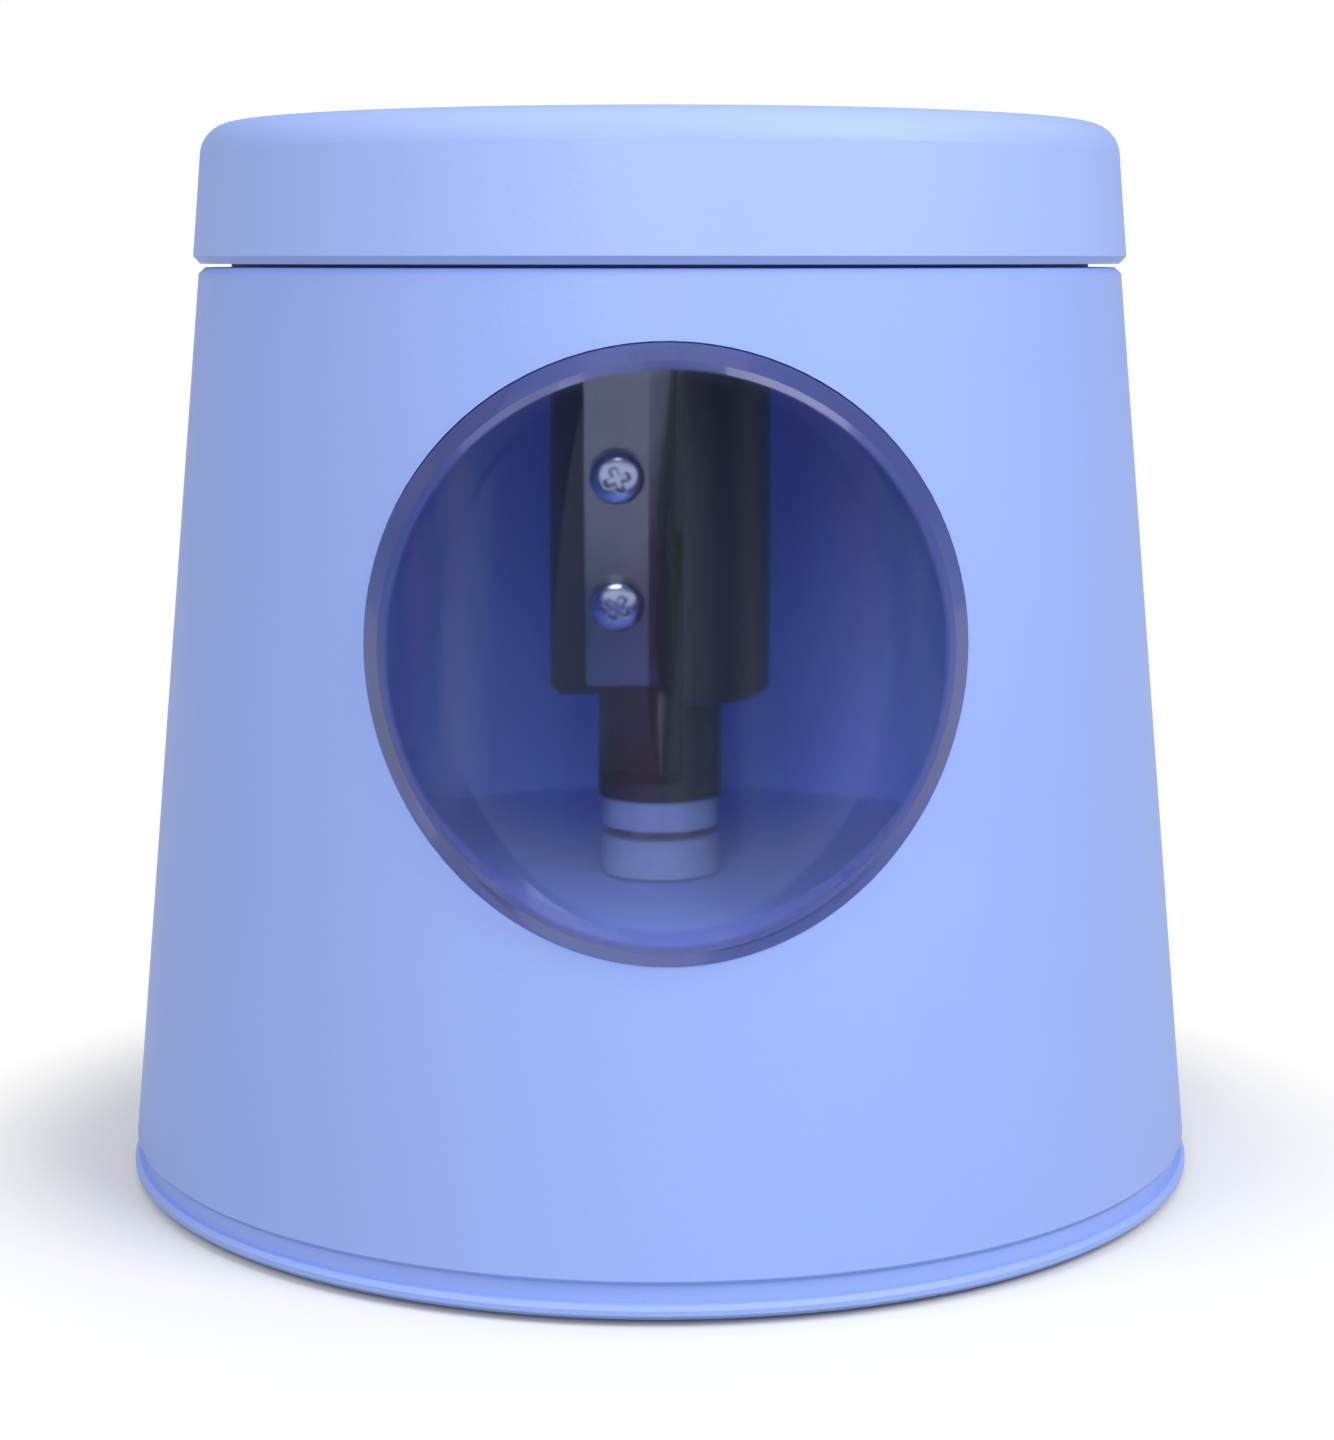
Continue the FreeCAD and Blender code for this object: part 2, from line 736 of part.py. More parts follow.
def cutter_holder():
    """Turned holder with the pencil socket and cone, and the slanted blade seat cut into its front."""
    mouth = size.socket_radius + size.socket_mouth
    body = turned(
        "cutter_holder",
        [
            (ZERO, neck_foot - size.stub_length),
            (size.stub_radius, neck_foot - size.stub_length),
            (size.stub_radius, neck_foot),
            (size.neck_radius, neck_foot),
            (size.neck_radius, neck_top),
            (size.holder_radius - size.holder_bevel, neck_top),
            (size.holder_radius, neck_top + size.holder_bevel),
            (size.holder_radius, shoulder - size.holder_bevel),
            (size.holder_radius - size.holder_bevel, shoulder),
            (size.journal_radius, shoulder),
            (size.journal_radius, journal_top),
            (mouth, journal_top),
            (size.socket_radius, journal_top - size.socket_mouth),
            (size.socket_radius, cone_top),
            (ZERO, cone_tip),
        ],
    )

    seat_low = cone_tip + size.seat_foot
    seat_high = shoulder - size.seat_rim
    outside = -(size.holder_radius * 2)
    seat = sketch_on(body, "YZ_Plane", "blade_seat", size.slot_edge)
    outline(
        seat,
        [
            (-seat_depth(seat_low), seat_low),
            (-seat_depth(seat_high), seat_high),
            (outside, seat_high),
            (outside, seat_low),
        ],
    )
    pocket(body, seat, size.holder_radius * 2, "seat_cut")

    drills = sketch_on(body, "XZ_Plane", "screw_holes")
    tilt = math.degrees(math.atan(cone_slope.number))
    drills.AttachmentOffset = Placement(Vector(), Rotation(Vector(1, 0, 0), tilt))
    drills.setExpression("AttachmentOffset.Rotation.Angle", f"atan({cone_slope.text})")
    drills.setExpression("AttachmentOffset.Base.y", blade_middle.text)
    drills.setExpression("AttachmentOffset.Base.z", seat_depth(blade_middle).text)
    for across, up in blade_screw_places():
        circle(drills, size.blade_screw_radius, across, up)
    pocket(body, drills, size.blade_screw_depth, "screw_hole_cut")


def lay_on_seat(body):
    """Set a body's own XZ plane on the blade seat, at the middle of the blade."""
    tilt = math.degrees(math.atan(cone_slope.number))
    body.Placement = Placement(Vector(), Rotation(Vector(1, 0, 0), tilt))
    body.setExpression("Placement.Rotation.Angle", f"atan({cone_slope.text})")
    stand_at(body, back=-seat_depth(blade_middle), up=blade_middle)


def blade_screw_places():
    across = -size.blade_screw_across
    step = size.blade_screw_spacing / 2
    return [(across, step), (across, -step)]


def blade():
    """Flat blade with one ground bevel and two screw holes, lying on the seat."""
    body = new_body("blade")
    section = sketch_on(body, "XY_Plane", "section", -size.blade_below)
    outline(
        section,
        [
            (-size.blade_back, ZERO),
            (size.blade_edge, ZERO),
            (size.blade_edge, -size.blade_edge_thick),
            (-size.blade_bevel_start, -size.blade_thick),
            (-size.blade_back, -size.blade_thick),
        ],
    )
    pad(body, section, size.blade_above + size.blade_below, "strip")
    holes = sketch_on(body, "XZ_Plane", "holes")
    for across, up in blade_screw_places():
        circle(holes, size.blade_screw_radius + size.blade_hole_play, across, up)
    pocket(body, holes, size.blade_thick * 4, "hole_cut", both_ways=True)
    lay_on_seat(body)


def blade_screws():
    """Two domed screws that hold the blade on its seat."""
    body = new_body("blade_screws")
    heads = sketch_on(body, "XZ_Plane", "heads", size.blade_thick)
    shanks = sketch_on(body, "XZ_Plane", "shanks", size.blade_thick)
    for across, up in blade_screw_places():
        circle(heads, size.blade_screw_head_radius, across, up)
        circle(shanks, size.blade_screw_radius, across, up)
    head_pad = pad(body, heads, size.blade_screw_head_height, "head")
    face = -(size.blade_thick + size.blade_screw_head_height).number
    crowns = [
        f"Edge{index}"
        for index, edge in enumerate(head_pad.Shape.Edges, 1)
        if isinstance(edge.Curve, Part.Circle) and abs(edge.Curve.Center.y - face) < TOUCHING
    ]
    crown = body.newObject("PartDesign::Chamfer", "blade_screws_crown")
    crown.Base = (head_pad, crowns)
    crown.setExpression("Size", size.blade_screw_crown.text)
    doc.recompute()
    length = size.blade_thick + size.blade_screw_depth
    pad(body, shanks, length, "shank", backwards=True)
    lay_on_seat(body)


def drive_collar():
    """Upper half of the coupling: a collar under the holder's neck with a square tang below."""
    stub_foot = neck_foot - size.stub_length
    body = turned(
        "drive_collar",
        [
            (ZERO, collar_foot),
            (size.collar_radius, collar_foot),
            (size.collar_radius, neck_foot),
            (size.stub_radius, neck_foot),
            (size.stub_radius, stub_foot),
            (ZERO, stub_foot),
        ],
    )
    half = size.tang_side / 2
    tang = sketch_on(body, "XY_Plane", "tang", tang_foot)
    block(tang, -half, half, -half, half)
    pad(body, tang, collar_foot - tang_foot, "tang_pad")
    pin_hole = sketch_on(body, "XY_Plane", "pin_hole", tang_foot)
    circle(pin_hole, size.pin_radius)
    pocket(body, pin_hole, size.pin_depth, "pin_cut", backwards=True)


def drive_cup():
    """Lower half of the coupling: a cup on the spindle with a square socket for the tang."""
    body = tube("drive_cup", size.spindle_radius, size.cup_radius, cup_foot, cup_rim)
    half = size.tang_side / 2 + size.tang_play
    socket = sketch_on(body, "XY_Plane", "socket", cup_floor_top)
    block(socket, -half, half, -half, half)
    circle_room = cup_rim - cup_floor_top
    pocket(body, socket, circle_room, "socket_cut", backwards=True)


def drive_spindle():
    """Hollow spindle: a pin bore below, a spring room above and a groove for the clip."""
    pin_bore = size.pin_radius + size.pin_play
    clip_bore = size.spindle_radius - size.clip_seat_depth
    groove_foot = clip_foot - size.clip_play
    groove_top = clip_top + size.clip_play
    turned(
        "drive_spindle",
        [
            (pin_bore, spindle_foot),
            (size.spindle_radius, spindle_foot),
            (size.spindle_radius, groove_foot),
            (clip_bore, groove_foot),
            (clip_bore, groove_top),
            (size.spindle_radius, groove_top),
            (size.spindle_radius, cup_floor_top),
            (size.spring_room_radius, cup_floor_top),
            (size.spring_room_radius, spring_foot),
            (pin_bore, spring_foot),
        ],
    )


def spindle_clip():
    """Open spring clip that holds the spindle up against the lower bush."""
    bore = size.spindle_radius - size.clip_seat_depth
    body = tube("spindle_clip", bore, size.clip_radius, clip_foot, clip_top)
    mouth = sketch_on(body, "XY_Plane", "mouth", clip_foot)
    half = bore * 0.75
    block(mouth, -half, half, ZERO, size.clip_radius * 2)
    pocket(body, mouth, size.clip_thick, "mouth_cut", backwards=True)


def return_spring():
    """Coil spring round the pin, between the spindle's shoulder and the tang, in short straight runs."""
    wire = size.spring_wire_radius.number
    radius = (size.spring_room_radius - size.spring_play).number - wire
    foot = (spring_foot + size.spring_play).number + wire
    height = (tang_foot - size.spring_play).number - wire - foot
    sides = round(size.spring_sides.number)
    runs = round(size.spring_turns.number * sides)
    corners = []
    for run in range(runs + 1):
        angle = 2 * math.pi * run / sides
        rise = foot + height * run / runs
        corners.append(Vector(radius * math.cos(angle), radius * math.sin(angle), rise))
    path = Part.makePolygon(corners)
    section = Part.Wire([Part.Circle(corners[0], corners[1] - corners[0], wire).toShape()])
    mitred = 1
    spring = doc.addObject("Part::Feature", "return_spring")
    spring.Label = "return_spring"
    spring.Shape = path.makePipeShell([section], True, False, mitred)
    gap = height / size.spring_turns.number - 2 * wire
    print(f"return_spring: gap between turns {gap:.2f}")
    nodes["return_spring"] = spring


def switch_pin():
    """Steel pin that carries the press from the cutter down to the switch."""
    turned(
        "switch_pin",
        [
            (ZERO, pin_foot),
            (size.pin_radius * 0.5, pin_foot),
            (size.pin_radius, pin_foot + size.pin_radius * 0.5),
            (size.pin_radius, tang_foot + size.pin_depth),
            (ZERO, tang_foot + size.pin_depth),
        ],
    )


def tooth_gap(sketch, teeth):
    """Draw the gap between two involute teeth about the sketch's X axis."""
    module = size.gear_module.number
    pitch = module * teeth / 2
    base = pitch * math.cos(math.radians(20))
    root = pitch - 1.25 * module
    tip = pitch + module
    beyond = tip + module
    half_tooth = math.pi / teeth / 2 - size.tooth_thinning.number / pitch / 2

    def rolled(radius):
        """Angle that the involute has turned through at a radius."""
        ratio = math.sqrt(max((radius / base) ** 2 - 1, 0))
        return ratio - math.atan(ratio)

    def half_gap(radius):
        return math.pi / teeth - half_tooth - rolled(pitch) + rolled(radius)

    def corner(radius, side, angle):
        return Vector(radius * math.cos(angle), side * radius * math.sin(angle), 0)

    low = max(base, root)
    shapes = []
    for side in (-1, 1):
        foot = corner(root, side, half_gap(low))
        start = corner(low, side, half_gap(low))
        middle = corner((low + tip) / 2, side, half_gap((low + tip) / 2))
        end = corner(tip, side, half_gap(tip))
        out = corner(beyond, side, half_gap(tip))
        edges = [Part.Arc(start, middle, end), Part.LineSegment(end, out)]
        if base > root:
            edges.insert(0, Part.LineSegment(foot, start))
        shapes.append((edges, foot, out))
    for edges, foot, out in shapes:
        for edge in edges:
            sketch.addGeometry(edge, False)
    sketch.addGeometry(Part.LineSegment(shapes[0][1], shapes[1][1]), False)
    sketch.addGeometry(Part.LineSegment(shapes[0][2], shapes[1][2]), False)


def toothed(body, teeth, foot, face):
    """Pad a gear blank and cut its tooth gaps with a pattern."""
    blank = sketch_on(body, "XY_Plane", "blank", foot)
    circle(blank, size.gear_module * (teeth / 2 + 1))
    pad(body, blank, face, "blank_pad")
    gap = sketch_on(body, "XY_Plane", "gap", foot)
    tooth_gap(gap, round(teeth.number))
    gap_cut = pocket(body, gap, face, "gap_cut", backwards=True)
    repeat_round(body, [gap_cut], teeth, "gaps")


def drive_gear():
    """Large gear on the spindle, with a thin web between its rim and its hub."""
    body = new_body("drive_gear")
    foot = plate_top + size.gear_face_play
    face = size.gear_room - size.gear_face_play * 2
    toothed(body, size.gear_teeth, foot, face)
    rim_bore = size.gear_module * (size.gear_teeth / 2 - 1.25) - size.gear_rim_wall
    web_play = (face - size.gear_web_thick) / 2
    for name, height, upwards in (("under", foot, True), ("over", foot + face, False)):
        hollow = sketch_on(body, "XY_Plane", f"hollow_{name}", height)
        circle(hollow, rim_bore)
        circle(hollow, size.gear_hub_radius)
        pocket(body, hollow, web_play, f"hollow_{name}_cut", backwards=upwards)
    hub = sketch_on(body, "XY_Plane", "hub", plate_top + size.hub_play)
    circle(hub, size.gear_hub_radius)
    pad(body, hub, size.gear_room - size.hub_play * 2, "hub_pad")
    bore = sketch_on(body, "XY_Plane", "bore", plate_top)
    circle(bore, size.spindle_radius)
    pocket(body, bore, size.gear_room, "bore_cut", backwards=True)
    body.Placement = Placement(Vector(), Rotation(Vector(0, 0, 1), 90))


def motor_pinion():
    """Small gear on the motor shaft, turned so that a tooth meets a gap of the large gear."""
    body = new_body("motor_pinion")
    foot = plate_top + size.gear_face_play
    face = size.gear_room - size.gear_face_play * 2
    toothed(body, size.pinion_teeth, foot, face)
    bore = sketch_on(body, "XY_Plane", "bore", foot)
    circle(bore, size.motor_shaft_radius)
    pocket(body, bore, face, "bore_cut", backwards=True)
    turn = 270 - 180 / size.pinion_teeth.number
    body.Placement = Placement(Vector(0, motor_back.number, 0), Rotation(Vector(0, 0, 1), turn))
    stand_at(body, back=motor_back)


def motor():
    """Flat can motor hung under the gear plate: can, end cap, terminals, shaft and two screws."""
    shaft_bore = size.motor_shaft_radius + size.motor_shaft_play
    cap_top = motor_under + size.motor_cap_height
    can = turned(
        "motor_can",
        [
            (shaft_bore, cap_top),
            (size.motor_radius, cap_top),
            (size.motor_radius, plate_under - size.motor_bevel),
            (size.motor_radius - size.motor_bevel, plate_under),
            (size.motor_boss_radius, plate_under),
            (size.motor_boss_radius, plate_under + size.motor_boss_height),
            (shaft_bore, plate_under + size.motor_boss_height),
        ],
    )
    holes = sketch_on(can, "XY_Plane", "screw_holes", plate_under)
    places = [(-size.motor_screw_across, ZERO), (size.motor_screw_across, ZERO)]
    for across, back in places:
        circle(holes, size.screw_radius, across, back)
    pocket(can, holes, size.motor_screw_depth, "screw_hole_cut")
    stand_at(can, back=motor_back)

    cap_radius = size.motor_radius - size.motor_cap_step
    cap = tube("motor_cap", shaft_bore, cap_radius, motor_under, cap_top)
    slots = sketch_on(cap, "XY_Plane", "terminal_slots", cap_top)
    tags = new_body("motor_terminals")
    strips = sketch_on(tags, "XY_Plane", "strips", cap_top - size.terminal_thick)
    half = size.terminal_width / 2
    inner = cap_radius - size.terminal_reach
    outer = cap_radius + size.terminal_reach
    for sign in (-1, 1):
        block(slots, inner * sign, outer * sign, -half, half)
        block(strips, inner * sign, outer * sign, -half, half)
    pocket(cap, slots, size.terminal_thick, "terminal_slot_cut")
    pad(tags, strips, size.terminal_thick, "strip_pad")
    stand_at(cap, back=motor_back)
    stand_at(tags, back=motor_back)

    shaft_foot = cap_top
    gear_face_top = deck_under - size.gear_face_play
    shaft = turned(
        "motor_shaft",
        [
            (ZERO, shaft_foot),
            (size.motor_shaft_radius, shaft_foot),
            (size.motor_shaft_radius, gear_face_top),
            (ZERO, gear_face_top),
        ],
    )
    stand_at(shaft, back=motor_back)

    head = (size.screw_head_radius, size.screw_head_height)
    shank = (size.screw_radius, size.plate_thick + size.motor_screw_depth)
    fixings = screws("motor_screws", places, plate_top, head, shank, upwards=False)
    stand_at(fixings, back=motor_back)


def gear_plate():
    """Plate under the gears that carries the lower bush, the motor and the press switch."""
    body = new_body("gear_plate")
    side = size.post_across + size.plate_margin
    rear = size.rear_post_back + size.plate_margin
    front = -(bush_radius + size.plate_margin / 3)
    ear = size.post_radius + size.plate_margin / 2
    shape = sketch_on(body, "XY_Plane", "shape", plate_under)
    outline(
        shape,
        [
            (-side / 2, front),
            (side, front),
            (side, size.post_back + ear),
            (ear, rear),
            (-ear, rear),
            (-side, size.post_back + ear),
            (-side, size.post_back - ear),
        ],
    )
    pad(body, shape, size.plate_thick, "sheet")
    holes = sketch_on(body, "XY_Plane", "holes", plate_under)
    circle(holes, bush_radius)
    circle(holes, size.motor_boss_radius + size.motor_boss_play, ZERO, motor_back)
    for sign in (-1, 1):
        circle(holes, screw_hole, size.motor_screw_across * sign, motor_back)
    for across, back in post_places:
        circle(holes, screw_hole, across, back)
    pocket(body, holes, size.plate_thick, "hole_cut", backwards=True)


def base_plate():
    """Bottom cover with a flange, a spigot into the body and the battery bay moulded in."""
    spigot_top = body_foot + size.spigot_height
    spigot = body_radius(spigot_top) - size.wall - size.spigot_gap
    spigot_bore = spigot - size.spigot_wall
    body = turned(
        "base_plate",
        [
            (ZERO, base_under),
            (flange_radius - size.flange_bevel, base_under),
            (flange_radius, base_under + size.flange_bevel),
            (flange_radius, flange_top - size.flange_bevel),
            (flange_radius - size.flange_bevel, flange_top),
            (inset_radius, flange_top),
            (inset_radius, body_foot),
            (spigot, body_foot),
            (spigot, spigot_top),
            (spigot_bore, spigot_top),
            (spigot_bore, base_floor),
            (ZERO, base_floor),
        ],
    )

    bay_walls = sketch_on(body, "XY_Plane", "bay_walls", base_under + size.base_thick / 2)
    outline(bay_walls, bay_outline(size.bay_wall))
    pad(body, bay_walls, bay_top - base_under - size.base_thick / 2, "bay_pad")
    bay = sketch_on(body, "XY_Plane", "bay", base_under)
    outline(bay, bay_outline(ZERO))
    pocket(body, bay, bay_ceiling - base_under, "bay_cut", backwards=True)
    recess = sketch_on(body, "XY_Plane", "door_recess", base_under)
    outline(recess, bay_outline(size.door_ledge))
    pocket(body, recess, size.door_recess, "door_recess_cut", backwards=True)

    pads = sketch_on(body, "XY_Plane", "foot_recesses", base_under)
    for across, back in foot_places():
        circle(pads, size.foot_radius, across, back)
    pocket(body, pads, size.foot_recess, "foot_recess_cut", backwards=True)

    hole = sketch_on(body, "XY_Plane", "screw_hole", base_under)
    circle(hole, screw_hole, ZERO, -base_boss_ring)
    hole_cut = pocket(body, hole, size.base_thick, "screw_hole_cut", backwards=True)
    repeat_round(body, [hole_cut], size.base_screw_count, "screw_holes")
    sink = sketch_on(body, "XY_Plane", "screw_sink", base_under)
    circle(sink, size.screw_head_radius + size.screw_play, ZERO, -base_boss_ring)
    sink_cut = pocket(body, sink, size.screw_head_height, "screw_sink_cut", backwards=True)
    repeat_round(body, [sink_cut], size.base_screw_count, "screw_sinks")


def foot_places():
    """Two feet before and two behind the middle, on one ring inside the flange."""
    for angle, way in ((size.front_foot_angle, -1), (size.rear_foot_angle, 1)):
        for side in (-1, 1):
            yield foot_ring * sine(angle) * side, foot_ring * cosine(angle) * way


def feet():
    """Rubber pads in the recesses of the base plate."""
    body = new_body("feet")
    pads = sketch_on(body, "XY_Plane", "pads")
    for across, back in foot_places():
        circle(pads, size.foot_radius, across, back)
    pad(body, pads, base_under + size.foot_recess, "pad")


def base_screws():
    """Screws from below that hold the base plate to the body's bosses."""
    body = new_body("base_screws")
    seat = base_under + size.screw_head_height
    head = sketch_on(body, "XY_Plane", "head", seat)
    circle(head, size.screw_head_radius, ZERO, -base_boss_ring)
    head_pad = pad(body, head, size.screw_head_height, "head_pad", backwards=True)
    shank = sketch_on(body, "XY_Plane", "shank", seat)
    circle(shank, size.screw_radius, ZERO, -base_boss_ring)
    reach = base_floor - seat + size.base_screw_depth
    shank_pad = pad(body, shank, reach, "shank_pad")
    repeat_round(body, [head_pad, shank_pad], size.base_screw_count, "ring")


def plate_screws():
    """Screws from below that hold the gear plate to the body's posts."""
    head = (size.screw_head_radius, size.screw_head_height)
    shank = (size.screw_radius, size.plate_thick + size.post_screw_depth)
    screws("plate_screws", post_places, plate_under, head, shank, upwards=True)


def battery_door():
    """Plate that closes the battery bay from below, with a notch for a fingernail."""
    body = new_body("battery_door")
    shape = sketch_on(body, "XY_Plane", "shape", base_under + size.door_inset)
    outline(shape, bay_outline(size.door_ledge - size.door_gap))
    pad(body, shape, size.door_recess - size.door_inset, "sheet")
    notch = sketch_on(body, "XY_Plane", "notch", base_under + size.door_inset)
    circle(notch, size.door_notch_radius, ZERO, -(bay_front + size.door_notch_radius / 2))
    pocket(body, notch, (size.door_recess - size.door_inset) / 2, "notch_cut", backwards=True)


def battery_cells():
    """Two slim cells side by side, pointing opposite ways."""
    half = size.cell_length / 2
    body_end = half - size.cell_nub_length
    solids = []
    for sign, back in zip((1, -1), cell_places):
        cell = doc.addObject("PartDesign::Body", f"cell_{len(solids) + 1}")
        section = sketch_on(cell, "XZ_Plane", "section")
        outline(
            section,
            [
                (ZERO, -half),
                (size.cell_radius - size.cell_bevel, -half),
                (size.cell_radius, size.cell_bevel - half),
                (size.cell_radius, body_end - size.cell_bevel),
                (size.cell_radius - size.cell_bevel, body_end),
                (size.cell_nub_radius, body_end),
                (size.cell_nub_radius, half),
                (ZERO, half),
            ],
        )
        revolve(cell, section, "turning")
        cell.Placement = Placement(Vector(), Rotation(Vector(0, 1, 0), 90 * sign))
        stand_at(cell, back=-back, up=cell_axis)
        solids.append(cell)
    pair = doc.addObject("Part::Compound", "battery_cells")
    pair.Label = "battery_cells"
    pair.Links = solids
    doc.recompute()
    nodes["battery_cells"] = pair


def contact(label, side, places, strip_back=None):
    """Stamped contacts on one end wall of the bay, bent out to meet the ends of the cells."""
    body = new_body(label)
    wall = bay_half * side
    thick = size.contact_thick * side
    tip = (size.contact_room - size.contact_play) * side
    foot = cell_axis - size.contact_height / 2
    half = size.contact_width / 2
    crest = size.contact_tip / 2
    shape = sketch_on(body, "XY_Plane", "shape", foot)
    for back in places:
        outline(
            shape,
            [
                (wall, -back - half),
                (wall - thick, -back - half),
                (wall - thick, -back - crest * 2),
                (wall - tip, -back - crest),
                (wall - tip, -back + crest),
                (wall - thick, -back + crest * 2),
                (wall - thick, -back + half),
                (wall, -back + half),
                (wall, -back + crest * 2),
                (wall - tip + thick, -back + crest - size.contact_thick / 2),
                (wall - tip + thick, -back - crest + size.contact_thick / 2),
                (wall, -back - crest * 2),
            ],
        )
    pad(body, shape, size.contact_height, "strip")
    if strip_back:
        bridge = sketch_on(body, "XY_Plane", "bridge", foot)
        block(bridge, wall - thick, wall, -places[1] + half, -places[0] - half)
        pad(body, bridge, size.contact_height, "bridge_pad")


def press_switch():
    """Insulating block under the gear plate with a spring leaf above a fixed contact."""
    arm = size.leaf_arm
    half_width = size.leaf_width / 2
    base = new_body("switch_block")
    foot = contact_foot - size.block_foot
    section = sketch_on(base, "XZ_Plane", "section")
    block(section, arm, arm + size.block_length, foot, plate_under)
    pad(base, section, size.block_width, "body", both_ways=True)
    groove = sketch_on(base, "XZ_Plane", "groove")
    circle(groove, size.leaf_root_radius + size.leaf_root_play, arm, leaf_axis)
    pocket(base, groove, size.block_width * 2, "groove_cut", both_ways=True)
    slot = sketch_on(base, "XZ_Plane", "slot")
    tail = arm + size.block_length + size.leaf_tail
    block(slot, arm, tail, contact_foot, contact_top)
    pocket(base, slot, size.leaf_width, "slot_cut", both_ways=True)

    fixed = new_body("switch_contact")
    strip = sketch_on(fixed, "XZ_Plane", "strip")
    block(strip, -size.leaf_overhang, tail, contact_foot, contact_top)
    pad(fixed, strip, size.leaf_width, "strip_pad", both_ways=True)

    leaf = new_body("switch_leaf")
    blade_strip = sketch_on(leaf, "XZ_Plane", "strip")
    block(blade_strip, -size.leaf_overhang, arm, leaf_top - size.leaf_thick, leaf_top)
    pad(leaf, blade_strip, size.leaf_width, "strip_pad", both_ways=True)
    root = sketch_on(leaf, "XZ_Plane", "root")
    circle(root, size.leaf_root_radius, arm, leaf_axis)
    pad(leaf, root, half_width * 2, "root_pad", both_ways=True)


body_shell()
window()
lid()
pencil_guide()
tube("top_bearing", bearing_bore, bearing_radius, hub_foot, hub_foot + size.bearing_length)
cutter_holder()
blade()
blade_screws()
drive_collar()
switch_pin()
drive_cup()
drive_spindle()
spindle_clip()
return_spring()
drive_gear()
motor_pinion()
motor()
gear_plate()
plate_screws()
tube("deck_bush", bush_bore, bush_radius, deck_under, deck_top)
tube("plate_bush", bush_bore, bush_radius, bush_foot, plate_top)
base_plate()
base_screws()
feet()
battery_door()
battery_cells()
contact("contact_bridge", -1, cell_places, strip_back=True)
contact("contact_plus", 1, cell_places[:1])
contact("contact_minus", 1, cell_places[1:])
press_switch()
doc.recompute()

for item in doc.Objects:
    if "Invalid" in item.State or "Error" in item.State:
        raise RuntimeError(f"{item.Label} failed: {item.State}")
for label, item in nodes.items():
    if item.Shape.isNull() or not item.Shape.isValid() or not item.Shape.Solids:
        raise RuntimeError(f"{label} has no sound solid")

os.makedirs("parts", exist_ok=True)
for label, item in nodes.items():
    item.Shape.exportStep(os.path.join("parts", f"{label}.step"))
    box = item.Shape.BoundBox
    print(f"{label}: {len(item.Shape.Solids)} solid(s), z {box.ZMin:.2f} to {box.ZMax:.2f}")
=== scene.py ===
# %% [markdown]
# A desk pencil sharpener stands on a white table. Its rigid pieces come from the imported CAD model,
# which is loaded first and never moved. This lesson gives every piece a procedural finish, adds
# screws with cross recesses and a coil spring, and sets up the light and the camera.

# %% Load the frame
import json
import math

import bpy
import numpy as np
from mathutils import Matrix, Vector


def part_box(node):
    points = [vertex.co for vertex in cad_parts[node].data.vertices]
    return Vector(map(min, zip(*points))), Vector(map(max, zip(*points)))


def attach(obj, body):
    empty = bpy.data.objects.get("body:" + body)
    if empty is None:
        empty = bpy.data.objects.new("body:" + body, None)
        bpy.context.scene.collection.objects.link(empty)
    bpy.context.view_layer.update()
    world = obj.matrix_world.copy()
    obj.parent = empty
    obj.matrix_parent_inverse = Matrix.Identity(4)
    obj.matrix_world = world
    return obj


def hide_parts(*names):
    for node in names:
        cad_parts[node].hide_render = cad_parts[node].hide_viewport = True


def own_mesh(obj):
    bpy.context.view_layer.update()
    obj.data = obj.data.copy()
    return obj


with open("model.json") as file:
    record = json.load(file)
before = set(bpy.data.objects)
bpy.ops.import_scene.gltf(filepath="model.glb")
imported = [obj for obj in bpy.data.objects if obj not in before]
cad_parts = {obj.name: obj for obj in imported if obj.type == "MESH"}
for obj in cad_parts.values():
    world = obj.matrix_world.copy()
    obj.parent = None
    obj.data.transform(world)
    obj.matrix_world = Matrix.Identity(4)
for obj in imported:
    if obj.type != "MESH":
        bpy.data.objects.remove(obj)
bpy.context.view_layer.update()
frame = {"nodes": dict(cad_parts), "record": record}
nodes = frame["nodes"]
MM = 0.001
print("pieces in the frame:", len(nodes))

# %% [markdown]
# A material is a tree of nodes, and wiring one in code soon repeats itself. These helpers add a node,
# set its sockets by name and make the usual steps: noise, ranges, sums and mixes. Each material could
# spell them out, but then its recipe would drown in wiring.

# %% Helpers that add nodes
def add_node(tree, kind, **settings):
    """Add a node and set its plain properties."""
    node = tree.nodes.new(kind)
    for name, value in settings.items():
        setattr(node, name, value)
    return node


def set_inputs(node, **values):
    """Set a node's sockets by name, with _ for a space."""
    for name, value in values.items():
        node.inputs[name.replace("_", " ")].default_value = value


def feed(tree, socket, value):
    """Give a socket a plain number or vector, or a link from another socket."""
    if isinstance(value, (int, float, tuple)):
        socket.default_value = value
    else:
        tree.links.new(value, socket)


def object_place(tree):
    """Object coordinates, which are metres in the part's own frame."""
    return add_node(tree, "ShaderNodeTexCoord").outputs["Object"]


def noise(tree, vector, scale, detail=3.0):
    """Add a noise texture on a vector."""
    node = add_node(tree, "ShaderNodeTexNoise")
    set_inputs(node, Scale=scale, Detail=detail)
    tree.links.new(vector, node.inputs["Vector"])
    return node.outputs["Fac"]


def new_material(name):
    """A material with nodes, together with its tree and its Principled shader."""
    material = bpy.data.materials.new(name)
    material.use_nodes = True
    tree = material.node_tree
    return material, tree, tree.nodes["Principled BSDF"]


print("helpers that add nodes are ready")

# %% [markdown]
# A pattern is bent into shape by sums and ranges. Each of these takes sockets or plain numbers and
# gives back a socket, so that the recipes below read like formulas.

